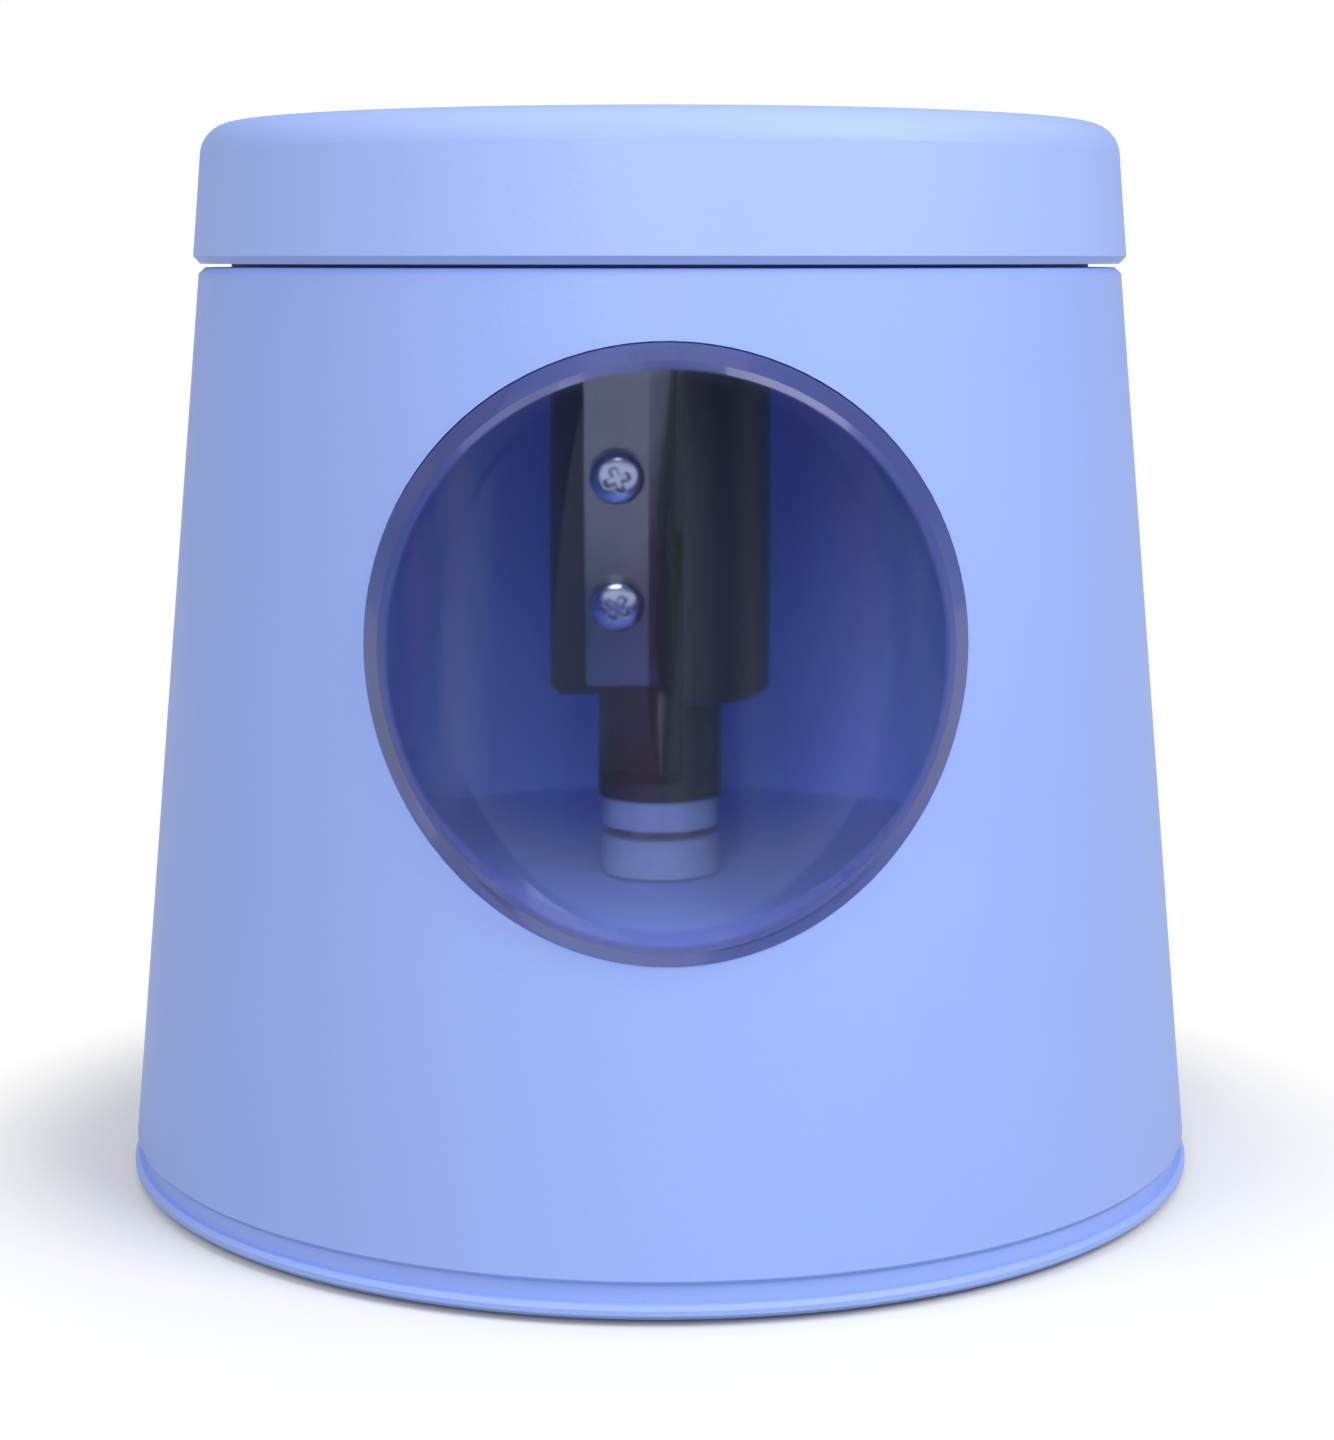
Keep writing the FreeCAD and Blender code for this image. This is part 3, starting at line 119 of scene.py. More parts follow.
# %% Helpers that reckon and mix
def remap(tree, value, low, high):
    """Carry a 0 to 1 value to the range from low to high, either of them a socket or a number."""
    node = add_node(tree, "ShaderNodeMapRange")
    for name, given in (("Value", value), ("To Min", low), ("To Max", high)):
        feed(tree, node.inputs[name], given)
    return node.outputs["Result"]


def smooth_range(tree, value, start, end, low=0.0, high=1.0):
    """Carry a value along a smooth S, from low at start to high at end."""
    node = add_node(tree, "ShaderNodeMapRange", interpolation_type="SMOOTHSTEP")
    set_inputs(node, From_Min=start, From_Max=end, To_Min=low, To_Max=high)
    tree.links.new(value, node.inputs["Value"])
    return node.outputs["Result"]


def arithmetic(tree, operation, first, second):
    """Add a Math node on sockets or numbers."""
    node = add_node(tree, "ShaderNodeMath", operation=operation)
    feed(tree, node.inputs[0], first)
    feed(tree, node.inputs[1], second)
    return node.outputs["Value"]


def vector_math(tree, operation, first, second):
    """Add a Vector Math node on sockets or plain vectors."""
    node = add_node(tree, "ShaderNodeVectorMath", operation=operation)
    feed(tree, node.inputs[0], first)
    feed(tree, node.inputs[1], second)
    return node.outputs["Vector"]


def vector_length(tree, vector):
    """Length of a vector."""
    node = add_node(tree, "ShaderNodeVectorMath", operation="LENGTH")
    tree.links.new(vector, node.inputs[0])
    return node.outputs["Value"]


def shade(tree, colour, factor):
    """Multiply a colour by a grey factor."""
    node = add_node(tree, "ShaderNodeVectorMath", operation="SCALE")
    tree.links.new(colour, node.inputs[0])
    tree.links.new(factor, node.inputs["Scale"])
    return node.outputs["Vector"]


def mix_shaders(tree, share, first, second):
    """Mix two shaders: all of the first at share 0, all of the second at share 1."""
    node = add_node(tree, "ShaderNodeMixShader")
    for socket, source in zip(node.inputs, (share, first, second)):
        tree.links.new(source, socket)
    return node.outputs["Shader"]


print("helpers that reckon and mix are ready")

# %% [markdown]
# Several finishes share the same effects, so these are node groups, built once and given their own
# values in each material. A group holds only patterns: the shader stays in the material. Every
# pattern reads Object coordinates, which are metres here, so a noise scale of 1000 means features
# about a millimetre across. The first group is the skin of moulded plastic: the fine grain that a
# spark-eroded mould leaves, a slow clouding of the colour, and patches that handling has rubbed. A
# picture could show them too, but noise has no seams and fits every piece.

# %% The moulded skin group
SURFACE_OUTPUTS = (
    ("Color", "NodeSocketColor"),
    ("Roughness", "NodeSocketFloat"),
    ("Height", "NodeSocketFloat"),
)
CLOUD_SCALE = 45.0
RUB_SCALE = 130.0
RUB_DETAIL = 5.0
GRAIN_SCALE = 3200.0
GRAIN_DETAIL = 2.0


def new_group(name, inputs):
    """Make a shader group with named sockets and return its tree, input and output nodes."""
    tree = bpy.data.node_groups.new(name, "ShaderNodeTree")
    for label, kind, value in inputs:
        socket = tree.interface.new_socket(name=label, in_out="INPUT", socket_type=kind)
        socket.default_value = value
    for label, kind in SURFACE_OUTPUTS:
        tree.interface.new_socket(name=label, in_out="OUTPUT", socket_type=kind)
    return tree, add_node(tree, "NodeGroupInput").outputs, add_node(tree, "NodeGroupOutput").inputs


def build_moulded_skin():
    """Fine spark grain of a mould, slow clouding of the colour and rubbed patches in the gloss."""
    inputs = (
        ("Color", "NodeSocketColor", (0.5, 0.5, 0.5, 1.0)),
        ("Roughness", "NodeSocketFloat", 0.5),
        ("Clouding", "NodeSocketFloat", 0.03),
        ("Rubbing", "NodeSocketFloat", 0.06),
    )
    tree, given, out = new_group("moulded_skin", inputs)
    place = object_place(tree)
    cloud = noise(tree, place, CLOUD_SCALE)
    rub = noise(tree, place, RUB_SCALE, RUB_DETAIL)
    grain = noise(tree, place, GRAIN_SCALE, GRAIN_DETAIL)
    darkest = arithmetic(tree, "SUBTRACT", 1.0, given["Clouding"])
    brightest = arithmetic(tree, "ADD", 1.0, given["Clouding"])
    clouded = shade(tree, given["Color"], remap(tree, cloud, darkest, brightest))
    smoothest = arithmetic(tree, "SUBTRACT", given["Roughness"], given["Rubbing"])
    roughest = arithmetic(tree, "ADD", given["Roughness"], given["Rubbing"])
    tree.links.new(clouded, out["Color"])
    tree.links.new(remap(tree, rub, smoothest, roughest), out["Roughness"])
    tree.links.new(grain, out["Height"])
    return tree


moulded_skin = build_moulded_skin()
print("group:", moulded_skin.name)

# %% [markdown]
# The second group is ground or turned metal. A grinding wheel leaves scratches that run one way, so a
# noise is drawn out by multiplying the place by three unlike scales before it is read. With an even
# roughness the metal would look like paint.

# %% The ground metal group
SCRATCH_DETAIL = 4.0
STAIN_SCALE = 260.0
STAIN_DETAIL = 4.0
SMOOTHEST_SHARE = 0.7
ROUGHEST_SHARE = 1.35


def build_ground_metal():
    """Scratches left by a grinding wheel: a noise drawn out along one axis, with slow staining."""
    inputs = (
        ("Color", "NodeSocketColor", (0.6, 0.6, 0.6, 1.0)),
        ("Roughness", "NodeSocketFloat", 0.3),
        ("Across", "NodeSocketVector", (4000.0, 300.0, 300.0)),
        ("Staining", "NodeSocketFloat", 0.12),
    )
    tree, given, out = new_group("ground_metal", inputs)
    place = object_place(tree)
    drawn_out = vector_math(tree, "MULTIPLY", place, given["Across"])
    scratch = noise(tree, drawn_out, 1.0, SCRATCH_DETAIL)
    stain = noise(tree, place, STAIN_SCALE, STAIN_DETAIL)
    darkest = arithmetic(tree, "SUBTRACT", 1.0, given["Staining"])
    stained = shade(tree, given["Color"], remap(tree, stain, darkest, 1.0))
    smoothest = arithmetic(tree, "MULTIPLY", given["Roughness"], SMOOTHEST_SHARE)
    roughest = arithmetic(tree, "MULTIPLY", given["Roughness"], ROUGHEST_SHARE)
    tree.links.new(stained, out["Color"])
    tree.links.new(remap(tree, scratch, smoothest, roughest), out["Roughness"])
    tree.links.new(scratch, out["Height"])
    return tree


ground_metal = build_ground_metal()
print("group:", ground_metal.name)

# %% [markdown]
# The body, lid and base are moulded in a satin lavender-blue plastic, whose grain keeps the highlights
# soft. The same recipe with other numbers gives the black cutter holder, the pale coupling, the gears
# and the rubber feet, and the metal recipe gives blade, screws, shafts, brass and contacts. A table of
# values is enough, because the groups hold all the detail.

# %% Values of the plastics and metals
LAVENDER = (0.33, 0.465, 0.95)
TURNED = (300.0, 300.0, 5000.0)
PLASTICS = {
    "shell_plastic": {"colour": LAVENDER},
    # The lid is the body's lavender plastic made lighter: painted light from above, which falls more on
    # the lid.
    "lid_plastic": {"colour": (0.37, 0.51, 0.98)},
    "base_plastic": {"colour": LAVENDER},
    "door_plastic": {"colour": (0.29, 0.41, 0.88), "roughness": 0.55},
    "guide_plastic": {"colour": (0.22, 0.31, 0.74), "roughness": 0.42},
    "holder_plastic": {"colour": (0.026, 0.024, 0.030), "roughness": 0.36, "bump": 0.012, "Rubbing": 0.08},
    "coupling_plastic": {"colour": (0.35, 0.41, 0.60), "roughness": 0.45},
    "bearing_plastic": {"colour": (0.74, 0.74, 0.72), "roughness": 0.35},
    "gear_plastic": {"colour": (0.80, 0.79, 0.74), "roughness": 0.4},
    "motor_cap_plastic": {"colour": (0.03, 0.03, 0.035)},
    "switch_plastic": {"colour": (0.025, 0.025, 0.03)},
    "foot_rubber": {"colour": (0.035, 0.035, 0.038), "roughness": 0.85, "bump": 0.5, "Clouding": 0.12},
}
METALS = {
    "blade_steel": {
        "colour": (0.22, 0.215, 0.225),
        "roughness": 0.24,
        "bump": 0.008,
        "Across": (1500.0, 120.0, 120.0),
    },
    "screw_steel": {
        "colour": (0.70, 0.70, 0.72),
        "roughness": 0.14,
        "bump": 0.05,
        "Across": (900.0, 900.0, 900.0),
    },
    "shaft_steel": {"colour": (0.60, 0.60, 0.62), "roughness": 0.24, "Across": TURNED},
    "spring_steel": {"colour": (0.50, 0.50, 0.53)},
    "plate_steel": {"colour": (0.58, 0.59, 0.61), "roughness": 0.38, "Across": (250.0, 3500.0, 250.0)},
    "motor_steel": {"colour": (0.62, 0.63, 0.65), "Across": TURNED},
    "contact_nickel": {"colour": (0.70, 0.69, 0.65), "roughness": 0.28},
    "pinion_brass": {"colour": (0.80, 0.60, 0.28), "roughness": 0.26, "Across": TURNED},
    "bush_brass": {"colour": (0.66, 0.48, 0.22), "roughness": 0.45, "Staining": 0.25},
    "leaf_brass": {"colour": (0.82, 0.62, 0.30), "roughness": 0.25, "Across": (300.0, 4000.0, 300.0)},
}
print("plastics:", len(PLASTICS), "metals:", len(METALS))

# %% [markdown]
# Each material places one of the groups, sets its values, and wires it into a Principled shader. The
# relief goes through a Bump node, because grain a few hundredths of a millimetre deep is too fine for
# a mesh.

# %% Materials of plastic and metal
BUMP_DISTANCE = 0.05 * MM


def surface_material(name, group, colour, roughness, metallic, bump, **extra):
    """A Principled surface whose colour, roughness and bump come from one of the groups."""
    material, tree, shader = new_material(name)
    pattern = add_node(tree, "ShaderNodeGroup", node_tree=group)
    set_inputs(pattern, Color=(*colour, 1.0), Roughness=roughness, **extra)
    relief = add_node(tree, "ShaderNodeBump")
    set_inputs(relief, Strength=bump, Distance=BUMP_DISTANCE)
    tree.links.new(pattern.outputs["Color"], shader.inputs["Base Color"])
    tree.links.new(pattern.outputs["Roughness"], shader.inputs["Roughness"])
    tree.links.new(pattern.outputs["Height"], relief.inputs["Height"])
    tree.links.new(relief.outputs["Normal"], shader.inputs["Normal"])
    set_inputs(shader, Metallic=metallic)
    return material


def plastic(name, colour, roughness=0.5, bump=0.25, **extra):
    """A moulded plastic."""
    return surface_material(name, moulded_skin, colour, roughness, 0.0, bump, **extra)


def metal(name, colour, roughness=0.3, bump=0.15, **extra):
    """A ground or turned metal."""
    return surface_material(name, ground_metal, colour, roughness, 1.0, bump, **extra)


materials = {name: plastic(name, **values) for name, values in PLASTICS.items()}
materials.update({name: metal(name, **values) for name, values in METALS.items()})
print("surface materials:", len(materials))

# %% [markdown]
# The slim battery cells have a plain dark sleeve and bright steel ends. One material does both: the
# distance along the cell, which lies on X, tells sleeve from end cap. The mask also drives Metallic,
# so the caps are metal and the sleeve is not.

# %% Battery cell material
CELL_STEEL = (0.62, 0.62, 0.63)
SLEEVE_COLOUR = (0.035, 0.04, 0.055)
SLEEVE_SHARE = 0.93


def cell_material():
    """Turned steel beyond the sleeve's end, dark sleeve before it."""
    material = metal("cell_sleeve", CELL_STEEL, Across=TURNED)
    tree = material.node_tree
    shader = tree.nodes["Principled BSDF"]
    low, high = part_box("battery_cells")
    sleeve_end = SLEEVE_SHARE * float(high[0] - low[0]) / 2
    split = add_node(tree, "ShaderNodeSeparateXYZ")
    tree.links.new(object_place(tree), split.inputs["Vector"])
    along = arithmetic(tree, "ABSOLUTE", split.outputs["X"], 0.0)
    cap = arithmetic(tree, "GREATER_THAN", along, sleeve_end)
    steel = shader.inputs["Base Color"].links[0].from_socket
    mixed = add_node(tree, "ShaderNodeMix", data_type="RGBA")
    tree.links.new(cap, mixed.inputs["Factor"])
    mixed.inputs["A"].default_value = (*SLEEVE_COLOUR, 1.0)
    tree.links.new(steel, mixed.inputs["B"])
    tree.links.new(mixed.outputs["Result"], shader.inputs["Base Color"])
    tree.links.new(cap, shader.inputs["Metallic"])
    print("sleeve ends in mm from the middle:", round(sleeve_end / MM, 2))
    return material


materials["cell_sleeve"] = cell_material()

# %% [markdown]
# The window is a clear plug tinted violet-blue, with a trace of haze. It is real glass to the camera,
# so it bends what is behind it and mirrors the room, which veils the dark cutter. On its rim a satin
# violet is mixed in, which is painted light: a dim lavender that stands in for the lit wall of the
# hole seen through the bevel. A shadow ray would be stopped by glass, and the room behind it would be
# lit by luck alone, so shadow rays get a plain tinted transparent shader. A ray meets two faces of
# the plug, so each takes the square root of the tint.

# %% Window material
WINDOW_TINT = (0.70, 0.76, 0.93)
WINDOW_IOR = 1.46
HAZE_SCALE = 90.0
HAZE_DETAIL = 4.0
HAZE_LEAST = 0.045
HAZE_MOST = 0.075
RIM_INNER = 17.9 * MM
RIM_OUTER = 18.3 * MM
# Painted light: the rim's satin violet stands in for the lit hole wall seen through the bevel.
RIM_PAINTED_LIGHT = (0.085, 0.11, 0.40)
RIM_ROUGHNESS = 0.3
RIM_SHARE = 0.55


def rim_mask(tree, place):
    """0 on the window's face and 1 on its rim, by the distance from the window's axis."""
    low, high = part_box("window")
    middle = (0.0, 0.0, float(low[2] + high[2]) / 2)
    offset = vector_math(tree, "SUBTRACT", place, middle)
    from_axis = vector_math(tree, "MULTIPLY", offset, (1.0, 0.0, 1.0))
    return smooth_range(tree, vector_length(tree, from_axis), RIM_INNER, RIM_OUTER)


def window_material():
    """Hazy tinted glass with a satin violet rim that is painted light, and plain tinted transparency for
    shadow rays.
    """
    material, tree, glass = new_material("window_tint")
    set_inputs(glass, Base_Color=(*WINDOW_TINT, 1.0), Transmission_Weight=1.0, IOR=WINDOW_IOR)
    place = object_place(tree)
    haze = remap(tree, noise(tree, place, HAZE_SCALE, HAZE_DETAIL), HAZE_LEAST, HAZE_MOST)
    tree.links.new(haze, glass.inputs["Roughness"])
    # Painted light on the rim: a satin violet, mixed in by the rim's share.
    satin = add_node(tree, "ShaderNodeBsdfPrincipled")
    set_inputs(satin, Base_Color=(*RIM_PAINTED_LIGHT, 1.0), Roughness=RIM_ROUGHNESS)
    share = arithmetic(tree, "MULTIPLY", rim_mask(tree, place), RIM_SHARE)
    rimmed = mix_shaders(tree, share, glass.outputs["BSDF"], satin.outputs["BSDF"])
    clear = add_node(tree, "ShaderNodeBsdfTransparent")
    set_inputs(clear, Color=(*(math.sqrt(part) for part in WINDOW_TINT), 1.0))
    lamp_ray = add_node(tree, "ShaderNodeLightPath").outputs["Is Shadow Ray"]
    shown = mix_shaders(tree, lamp_ray, rimmed, clear.outputs["BSDF"])
    tree.links.new(shown, tree.nodes["Material Output"].inputs["Surface"])
    return material


materials["window_tint"] = window_material()
print("window tint:", WINDOW_TINT)

# %% [markdown]
# The record names a finish for each CAD node, so the list needn't be written again here. The nodes
# keep their meshes, and only the material in their slot is changed.

# %% Give each node its finish
for part in frame["record"]["subparts"]:
    dressed = nodes[part["node"]]
    dressed.data.materials.clear()
    dressed.data.materials.append(materials[part["material_slot"]])

# %% [markdown]
# Two pan-head screws hold the blade and three hold the base plate. Their cross recess is too fine for
# the CAD model but shows in a close view, so the screws are worked out here as turned surfaces: a
# profile of radius and height is carried round the axis, and the middle of the head is pressed down
# where two crossed slots lie. One function makes both kinds from their sizes. The profile comes first.

# %% Profile of a screw
BLADE_SCREW = {"head": 2.0 * MM, "crown": 1.2 * MM, "shank": 0.8 * MM, "length": 1.5 * MM}
BASE_SCREW = {"head": 1.8 * MM, "crown": 1.1 * MM, "shank": 0.9 * MM, "length": 8.9 * MM}
DOME_STEPS = 40
DOME_EDGE = 0.42
SIDE_RADIUS = (1.0, 0.98)
SIDE_HEIGHT = (0.12, 0.0)
STEM_RADIUS = (1.0, 1.0, 0.6)
STEM_HEIGHT = (0.0, -0.87, -1.0)


def screw_profile(screw):
    """Radius and height along the screw: a low dome, a short side, the underside, then the shank.

    The dome is sin(t) to the power 0.9 across and cos(t) to the power 0.8 up, above its edge.
    """
    turn = np.linspace(0.0, math.pi / 2, DOME_STEPS)[1:]
    dome_radius = np.sin(turn) ** 0.9
    dome_height = DOME_EDGE + (1.0 - DOME_EDGE) * np.cos(turn) ** 0.8
    head_radius = screw["head"] * np.concatenate([dome_radius, SIDE_RADIUS])
    head_height = screw["crown"] * np.concatenate([dome_height, SIDE_HEIGHT])
    radius = np.concatenate([head_radius, screw["shank"] * np.array(STEM_RADIUS)])
    height = np.concatenate([head_height, screw["length"] * np.array(STEM_HEIGHT)])
    return radius, height


print("points along a screw:", len(screw_profile(BLADE_SCREW)[0]))

# %% [markdown]
# The profile is turned into rings of points, and each ring is joined to the next by quads. The recess
# could be cut with a boolean, but pressing points down keeps the mesh closed and its walls sloped, as
# a punch leaves them. Sizes are shares of the head's radius and the crown's height.

# %% A turned screw with a cross recess
AROUND = 96
RECESS_REACH = 0.52
RECESS_HALF_WIDTH = 0.1
RECESS_DEPTH = 0.5
RECESS_SLOPE = 1.6
RECESS_FADE = 0.7
HEAD_TOP = 0.3


def smooth_step(low, high, value):
    """0 below low, 1 above high, and a smooth S between them."""
    part = np.clip((value - low) / (high - low), 0.0, 1.0)
    return part * part * (3.0 - 2.0 * part)


def ring_quads(rows, around):
    """Quads between each closed ring of points and the next."""
    step = np.arange(rows - 1)[:, None] * around
    here = np.arange(around)[None, :]
    there = (here + 1) % around
    corners = [step + here, step + around + here, step + around + there, step + there]
    return np.stack(corners, axis=-1).reshape(-1, 4)


def turned_screw(screw):
    """Points (r cos a, r sin a, h) on a grid of profile step and angle, with the cross pressed in."""
    radius, height = screw_profile(screw)
    angle = np.linspace(0.0, 2 * math.pi, AROUND, endpoint=False)
    across = radius[:, None] * np.cos(angle)[None, :]
    up = radius[:, None] * np.sin(angle)[None, :]
    out = np.repeat(height[:, None], AROUND, axis=1)
    edge = RECESS_HALF_WIDTH * screw["head"]
    reach = RECESS_REACH * screw["head"]
    depth = RECESS_DEPTH * screw["crown"]
    nearest = np.minimum(np.abs(across), np.abs(up))
    slots = 1.0 - smooth_step(edge, RECESS_SLOPE * edge, nearest)
    within = 1.0 - smooth_step(RECESS_FADE * reach, reach, np.hypot(across, up))
    on_top = (out > HEAD_TOP * screw["crown"]).astype(float)
    out = out - depth * slots * within * on_top
    middle = [[0.0, 0.0, screw["crown"] - depth], [0.0, 0.0, height[-1]]]
    points = np.concatenate([np.stack([across, up, out], axis=-1).reshape(-1, 3), middle])

    rows = len(radius)
    ring = np.arange(AROUND)
    beside = (ring + 1) % AROUND
    last = (rows - 1) * AROUND
    top = rows * AROUND
    crown = np.stack([np.full(AROUND, top), ring, beside], axis=-1)
    foot = np.stack([np.full(AROUND, top + 1), last + beside, last + ring], axis=-1)
    return points, ring_quads(rows, AROUND), np.concatenate([crown, foot])


print("points of one screw:", len(turned_screw(BLADE_SCREW)[0]))

# %% [markdown]
# A piece of the scene stands in for a CAD node of the same size and place. It sits at the origin with
# its place in its mesh, as the nodes do, and rides on the node's body, so that it moves with it.

# %% Let a piece take a node's place
def smooth_piece(name, points, faces):
    """Put points and faces into a smooth-shaded object at the origin."""
    mesh = bpy.data.meshes.new(name)
    mesh.from_pydata(points.tolist(), [], faces)
    mesh.polygons.foreach_set("use_smooth", np.ones(len(mesh.polygons), dtype=bool))
    mesh.update()
    piece = bpy.data.objects.new(name, mesh)
    bpy.context.scene.collection.objects.link(piece)
    return piece


def stand_in(piece, body, node, slot):
    """Let a piece take a CAD node's place on its body, with the node's finish."""
    piece.data.materials.append(materials[slot])
    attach(piece, body)
    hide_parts(node)
    print(piece.name, "has", len(piece.data.polygons), "faces")


print("pieces can now stand in for nodes")

# %% [markdown]
# The blade lies along the pencil's cone, which widens by 4.2 mm over 19.1 mm, and its two screws stand
# square to its slanted face. The base screws come up from below on a ring. A screw stops where it is
# tight, so the crosses don't line up, and each is turned further than the one before.

# %% Screws on the blade and under the base
BLADE_LEAN = math.atan(4.2 / 19.1)
BLADE_THICK = 0.6 * MM
BLADE_ABOVE = 13.4 * MM
BLADE_BELOW = 11.4 * MM
BLADE_SCREW_ACROSS = -3.2 * MM
BLADE_SCREW_SPACING = 9.8 * MM
BASE_SCREW_COUNT = 3
FIRST_TURN = math.radians(20)
NEXT_TURN = math.radians(40)


def screw_set(name, screw, holes, outward):
    """Several screws as one mesh: the turned screw set on each hole, each turned a little further."""
    points, quads, triangles = turned_screw(screw)
    sideways = np.array([1.0, 0.0, 0.0])
    upward = np.cross(outward, sideways)
    placed = []
    faces = []
    for index, hole in enumerate(holes):
        turn = FIRST_TURN + NEXT_TURN * index
        first = math.cos(turn) * sideways + math.sin(turn) * upward
        basis = np.stack([first, np.cross(outward, first), outward])
        placed.append(hole + points @ basis)
        faces += (quads + index * len(points)).tolist()
        faces += (triangles + index * len(points)).tolist()
    return smooth_piece(name, np.concatenate(placed), faces)


def blade_screw_pair():
    """Both screws on the slanted outer face of the blade, above and below the point between them."""
    low, high = (np.array(corner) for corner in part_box("blade"))
    along = np.array([0.0, -math.sin(BLADE_LEAN), math.cos(BLADE_LEAN)])
    outward = np.array([0.0, -math.cos(BLADE_LEAN), -math.sin(BLADE_LEAN)])
    face = (low + high) / 2 + outward * BLADE_THICK / 2
    face -= along * (BLADE_ABOVE - BLADE_BELOW) / 2
    face[0] = BLADE_SCREW_ACROSS
    holes = [face + along * side * BLADE_SCREW_SPACING / 2 for side in (1, -1)]
    return screw_set("blade_screw_pair", BLADE_SCREW, holes, outward)


def base_screw_ring():
    """Three screws from below on a ring about the upright axis, with their crowns at the underside."""
    low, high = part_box("base_screws")
    ring = -low[1] - BASE_SCREW["head"]
    seat = low[2] + BASE_SCREW["crown"]
    angles = 2 * math.pi * np.arange(BASE_SCREW_COUNT) / BASE_SCREW_COUNT
    holes = [np.array([ring * math.sin(a), -ring * math.cos(a), seat]) for a in angles]
    return screw_set("base_screw_ring", BASE_SCREW, holes, np.array([0.0, 0.0, -1.0]))


stand_in(blade_screw_pair(), "cutter", "blade_screws", "screw_steel")
stand_in(base_screw_ring(), "housing", "base_screws", "screw_steel")

# %% [markdown]
# A coil spring inside the hollow spindle lifts the cutter again after a pencil is drawn out. A coil
# is a tube carried along a helix. A bevelled curve could draw it too, but a tube worked out here has
# flat, closed ends. When a pencil presses the cutter down, the real spring shortens.

# %% Return spring
SPRING_TURNS = 4
WIRE_RADIUS = 0.18 * MM
WIRE_SIDES = 14
TURN_STEPS = 56


def return_coil():
    """Tube of radius w on the helix (R cos a, R sin a, z0 + p a), with flat ends.

    Each ring of the tube is w (cos b outward + sin b beside), square to the wire.
    """
    low, high = (np.array(corner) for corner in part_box("return_spring"))
    radius = (high[0] - low[0]) / 2 - WIRE_RADIUS
    rise = high[2] - low[2] - 2 * WIRE_RADIUS
    steps = SPRING_TURNS * TURN_STEPS + 1
    angle = np.linspace(0.0, 2 * math.pi * SPRING_TURNS, steps)
    level = np.linspace(0.0, rise, steps) + low[2] + WIRE_RADIUS
    flat = np.zeros(steps)
    outward = np.stack([np.cos(angle), np.sin(angle), flat], axis=-1)
    centre = radius * outward + np.stack([flat, flat, level], axis=-1)
    pitch = rise / angle[-1]
    ahead = np.stack([-radius * np.sin(angle), radius * np.cos(angle), flat + pitch], axis=-1)
    ahead /= np.linalg.norm(ahead, axis=1, keepdims=True)
    beside = np.cross(outward, ahead)
    around = np.linspace(0.0, 2 * math.pi, WIRE_SIDES, endpoint=False)[None, :, None]
    ring = np.cos(around) * outward[:, None] + np.sin(around) * beside[:, None]
    points = (centre[:, None] + WIRE_RADIUS * ring).reshape(-1, 3)
    faces = ring_quads(steps, WIRE_SIDES).tolist()
    faces.append(list(range(WIRE_SIDES)))
    faces.append(list(range(len(points) - 1, len(points) - 1 - WIRE_SIDES, -1)))
    return smooth_piece("return_coil", points, faces)


return_coil_piece = return_coil()
stand_in(return_coil_piece, "drive", "return_spring", "spring_steel")
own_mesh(return_coil_piece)

# %% [markdown]
# The photograph is a cut-out on pure white. The floor is a large pale sheet that keeps the soft
# shadow under the base and fades to plain white further out. To the light that bounces off it the
# paper is greyer, because a white sheet of this size would light the base from below.

# %% Floor
FLOOR_HALF = 3.0
SHADOW_NEAR = 42.0 * MM
SHADOW_FAR = 62.0 * MM
PAPER_ROUGHNESS = 0.9
PAPER_SEEN = (0.95, 0.95, 0.95)
PAPER_BOUNCE = (0.4, 0.4, 0.4)


def paper_material():
    """White paper that shows the shadow near the base and is plain white further out."""
    material, tree, paper = new_material("floor_paper")
    set_inputs(paper, Roughness=PAPER_ROUGHNESS, Specular_IOR_Level=0.0)
    white = add_node(tree, "ShaderNodeEmission")
    fade = smooth_range(tree, vector_length(tree, object_place(tree)), SHADOW_NEAR, SHADOW_FAR)
    rays = add_node(tree, "ShaderNodeLightPath").outputs
    bounce = add_node(tree, "ShaderNodeMix", data_type="RGBA")
    tree.links.new(rays["Is Diffuse Ray"], bounce.inputs["Factor"])
    bounce.inputs["A"].default_value = (*PAPER_SEEN, 1.0)
    bounce.inputs["B"].default_value = (*PAPER_BOUNCE, 1.0)
    tree.links.new(bounce.outputs["Result"], paper.inputs["Base Color"])
    seen = arithmetic(tree, "MAXIMUM", rays["Is Camera Ray"], rays["Is Glossy Ray"])
    seen = arithmetic(tree, "MAXIMUM", seen, rays["Is Transmission Ray"])
    blank = arithmetic(tree, "MULTIPLY", fade, seen)
    shown = mix_shaders(tree, blank, paper.outputs["BSDF"], white.outputs["Emission"])
    tree.links.new(shown, tree.nodes["Material Output"].inputs["Surface"])
    return material


def pale_floor():
    """A flat square sheet under the feet."""
    corners = FLOOR_HALF * np.array([[-1, -1, 0], [1, -1, 0], [1, 1, 0], [-1, 1, 0]])
    mesh = bpy.data.meshes.new("floor")
    mesh.from_pydata(corners.tolist(), [], [[0, 1, 2, 3]])
    mesh.materials.append(paper_material())
    floor = bpy.data.objects.new("floor", mesh)
    bpy.context.scene.collection.objects.link(floor)
    return floor


print("floor:", pale_floor().name)

# %% [markdown]
# The world is white to the camera and a plain studio level to everything that it lights. The curved
# window mirrors the room as upright streaks, so mirrors and glass see a room with faint coloured
# bands, pale panels at its sides, and darker above and behind the camera.

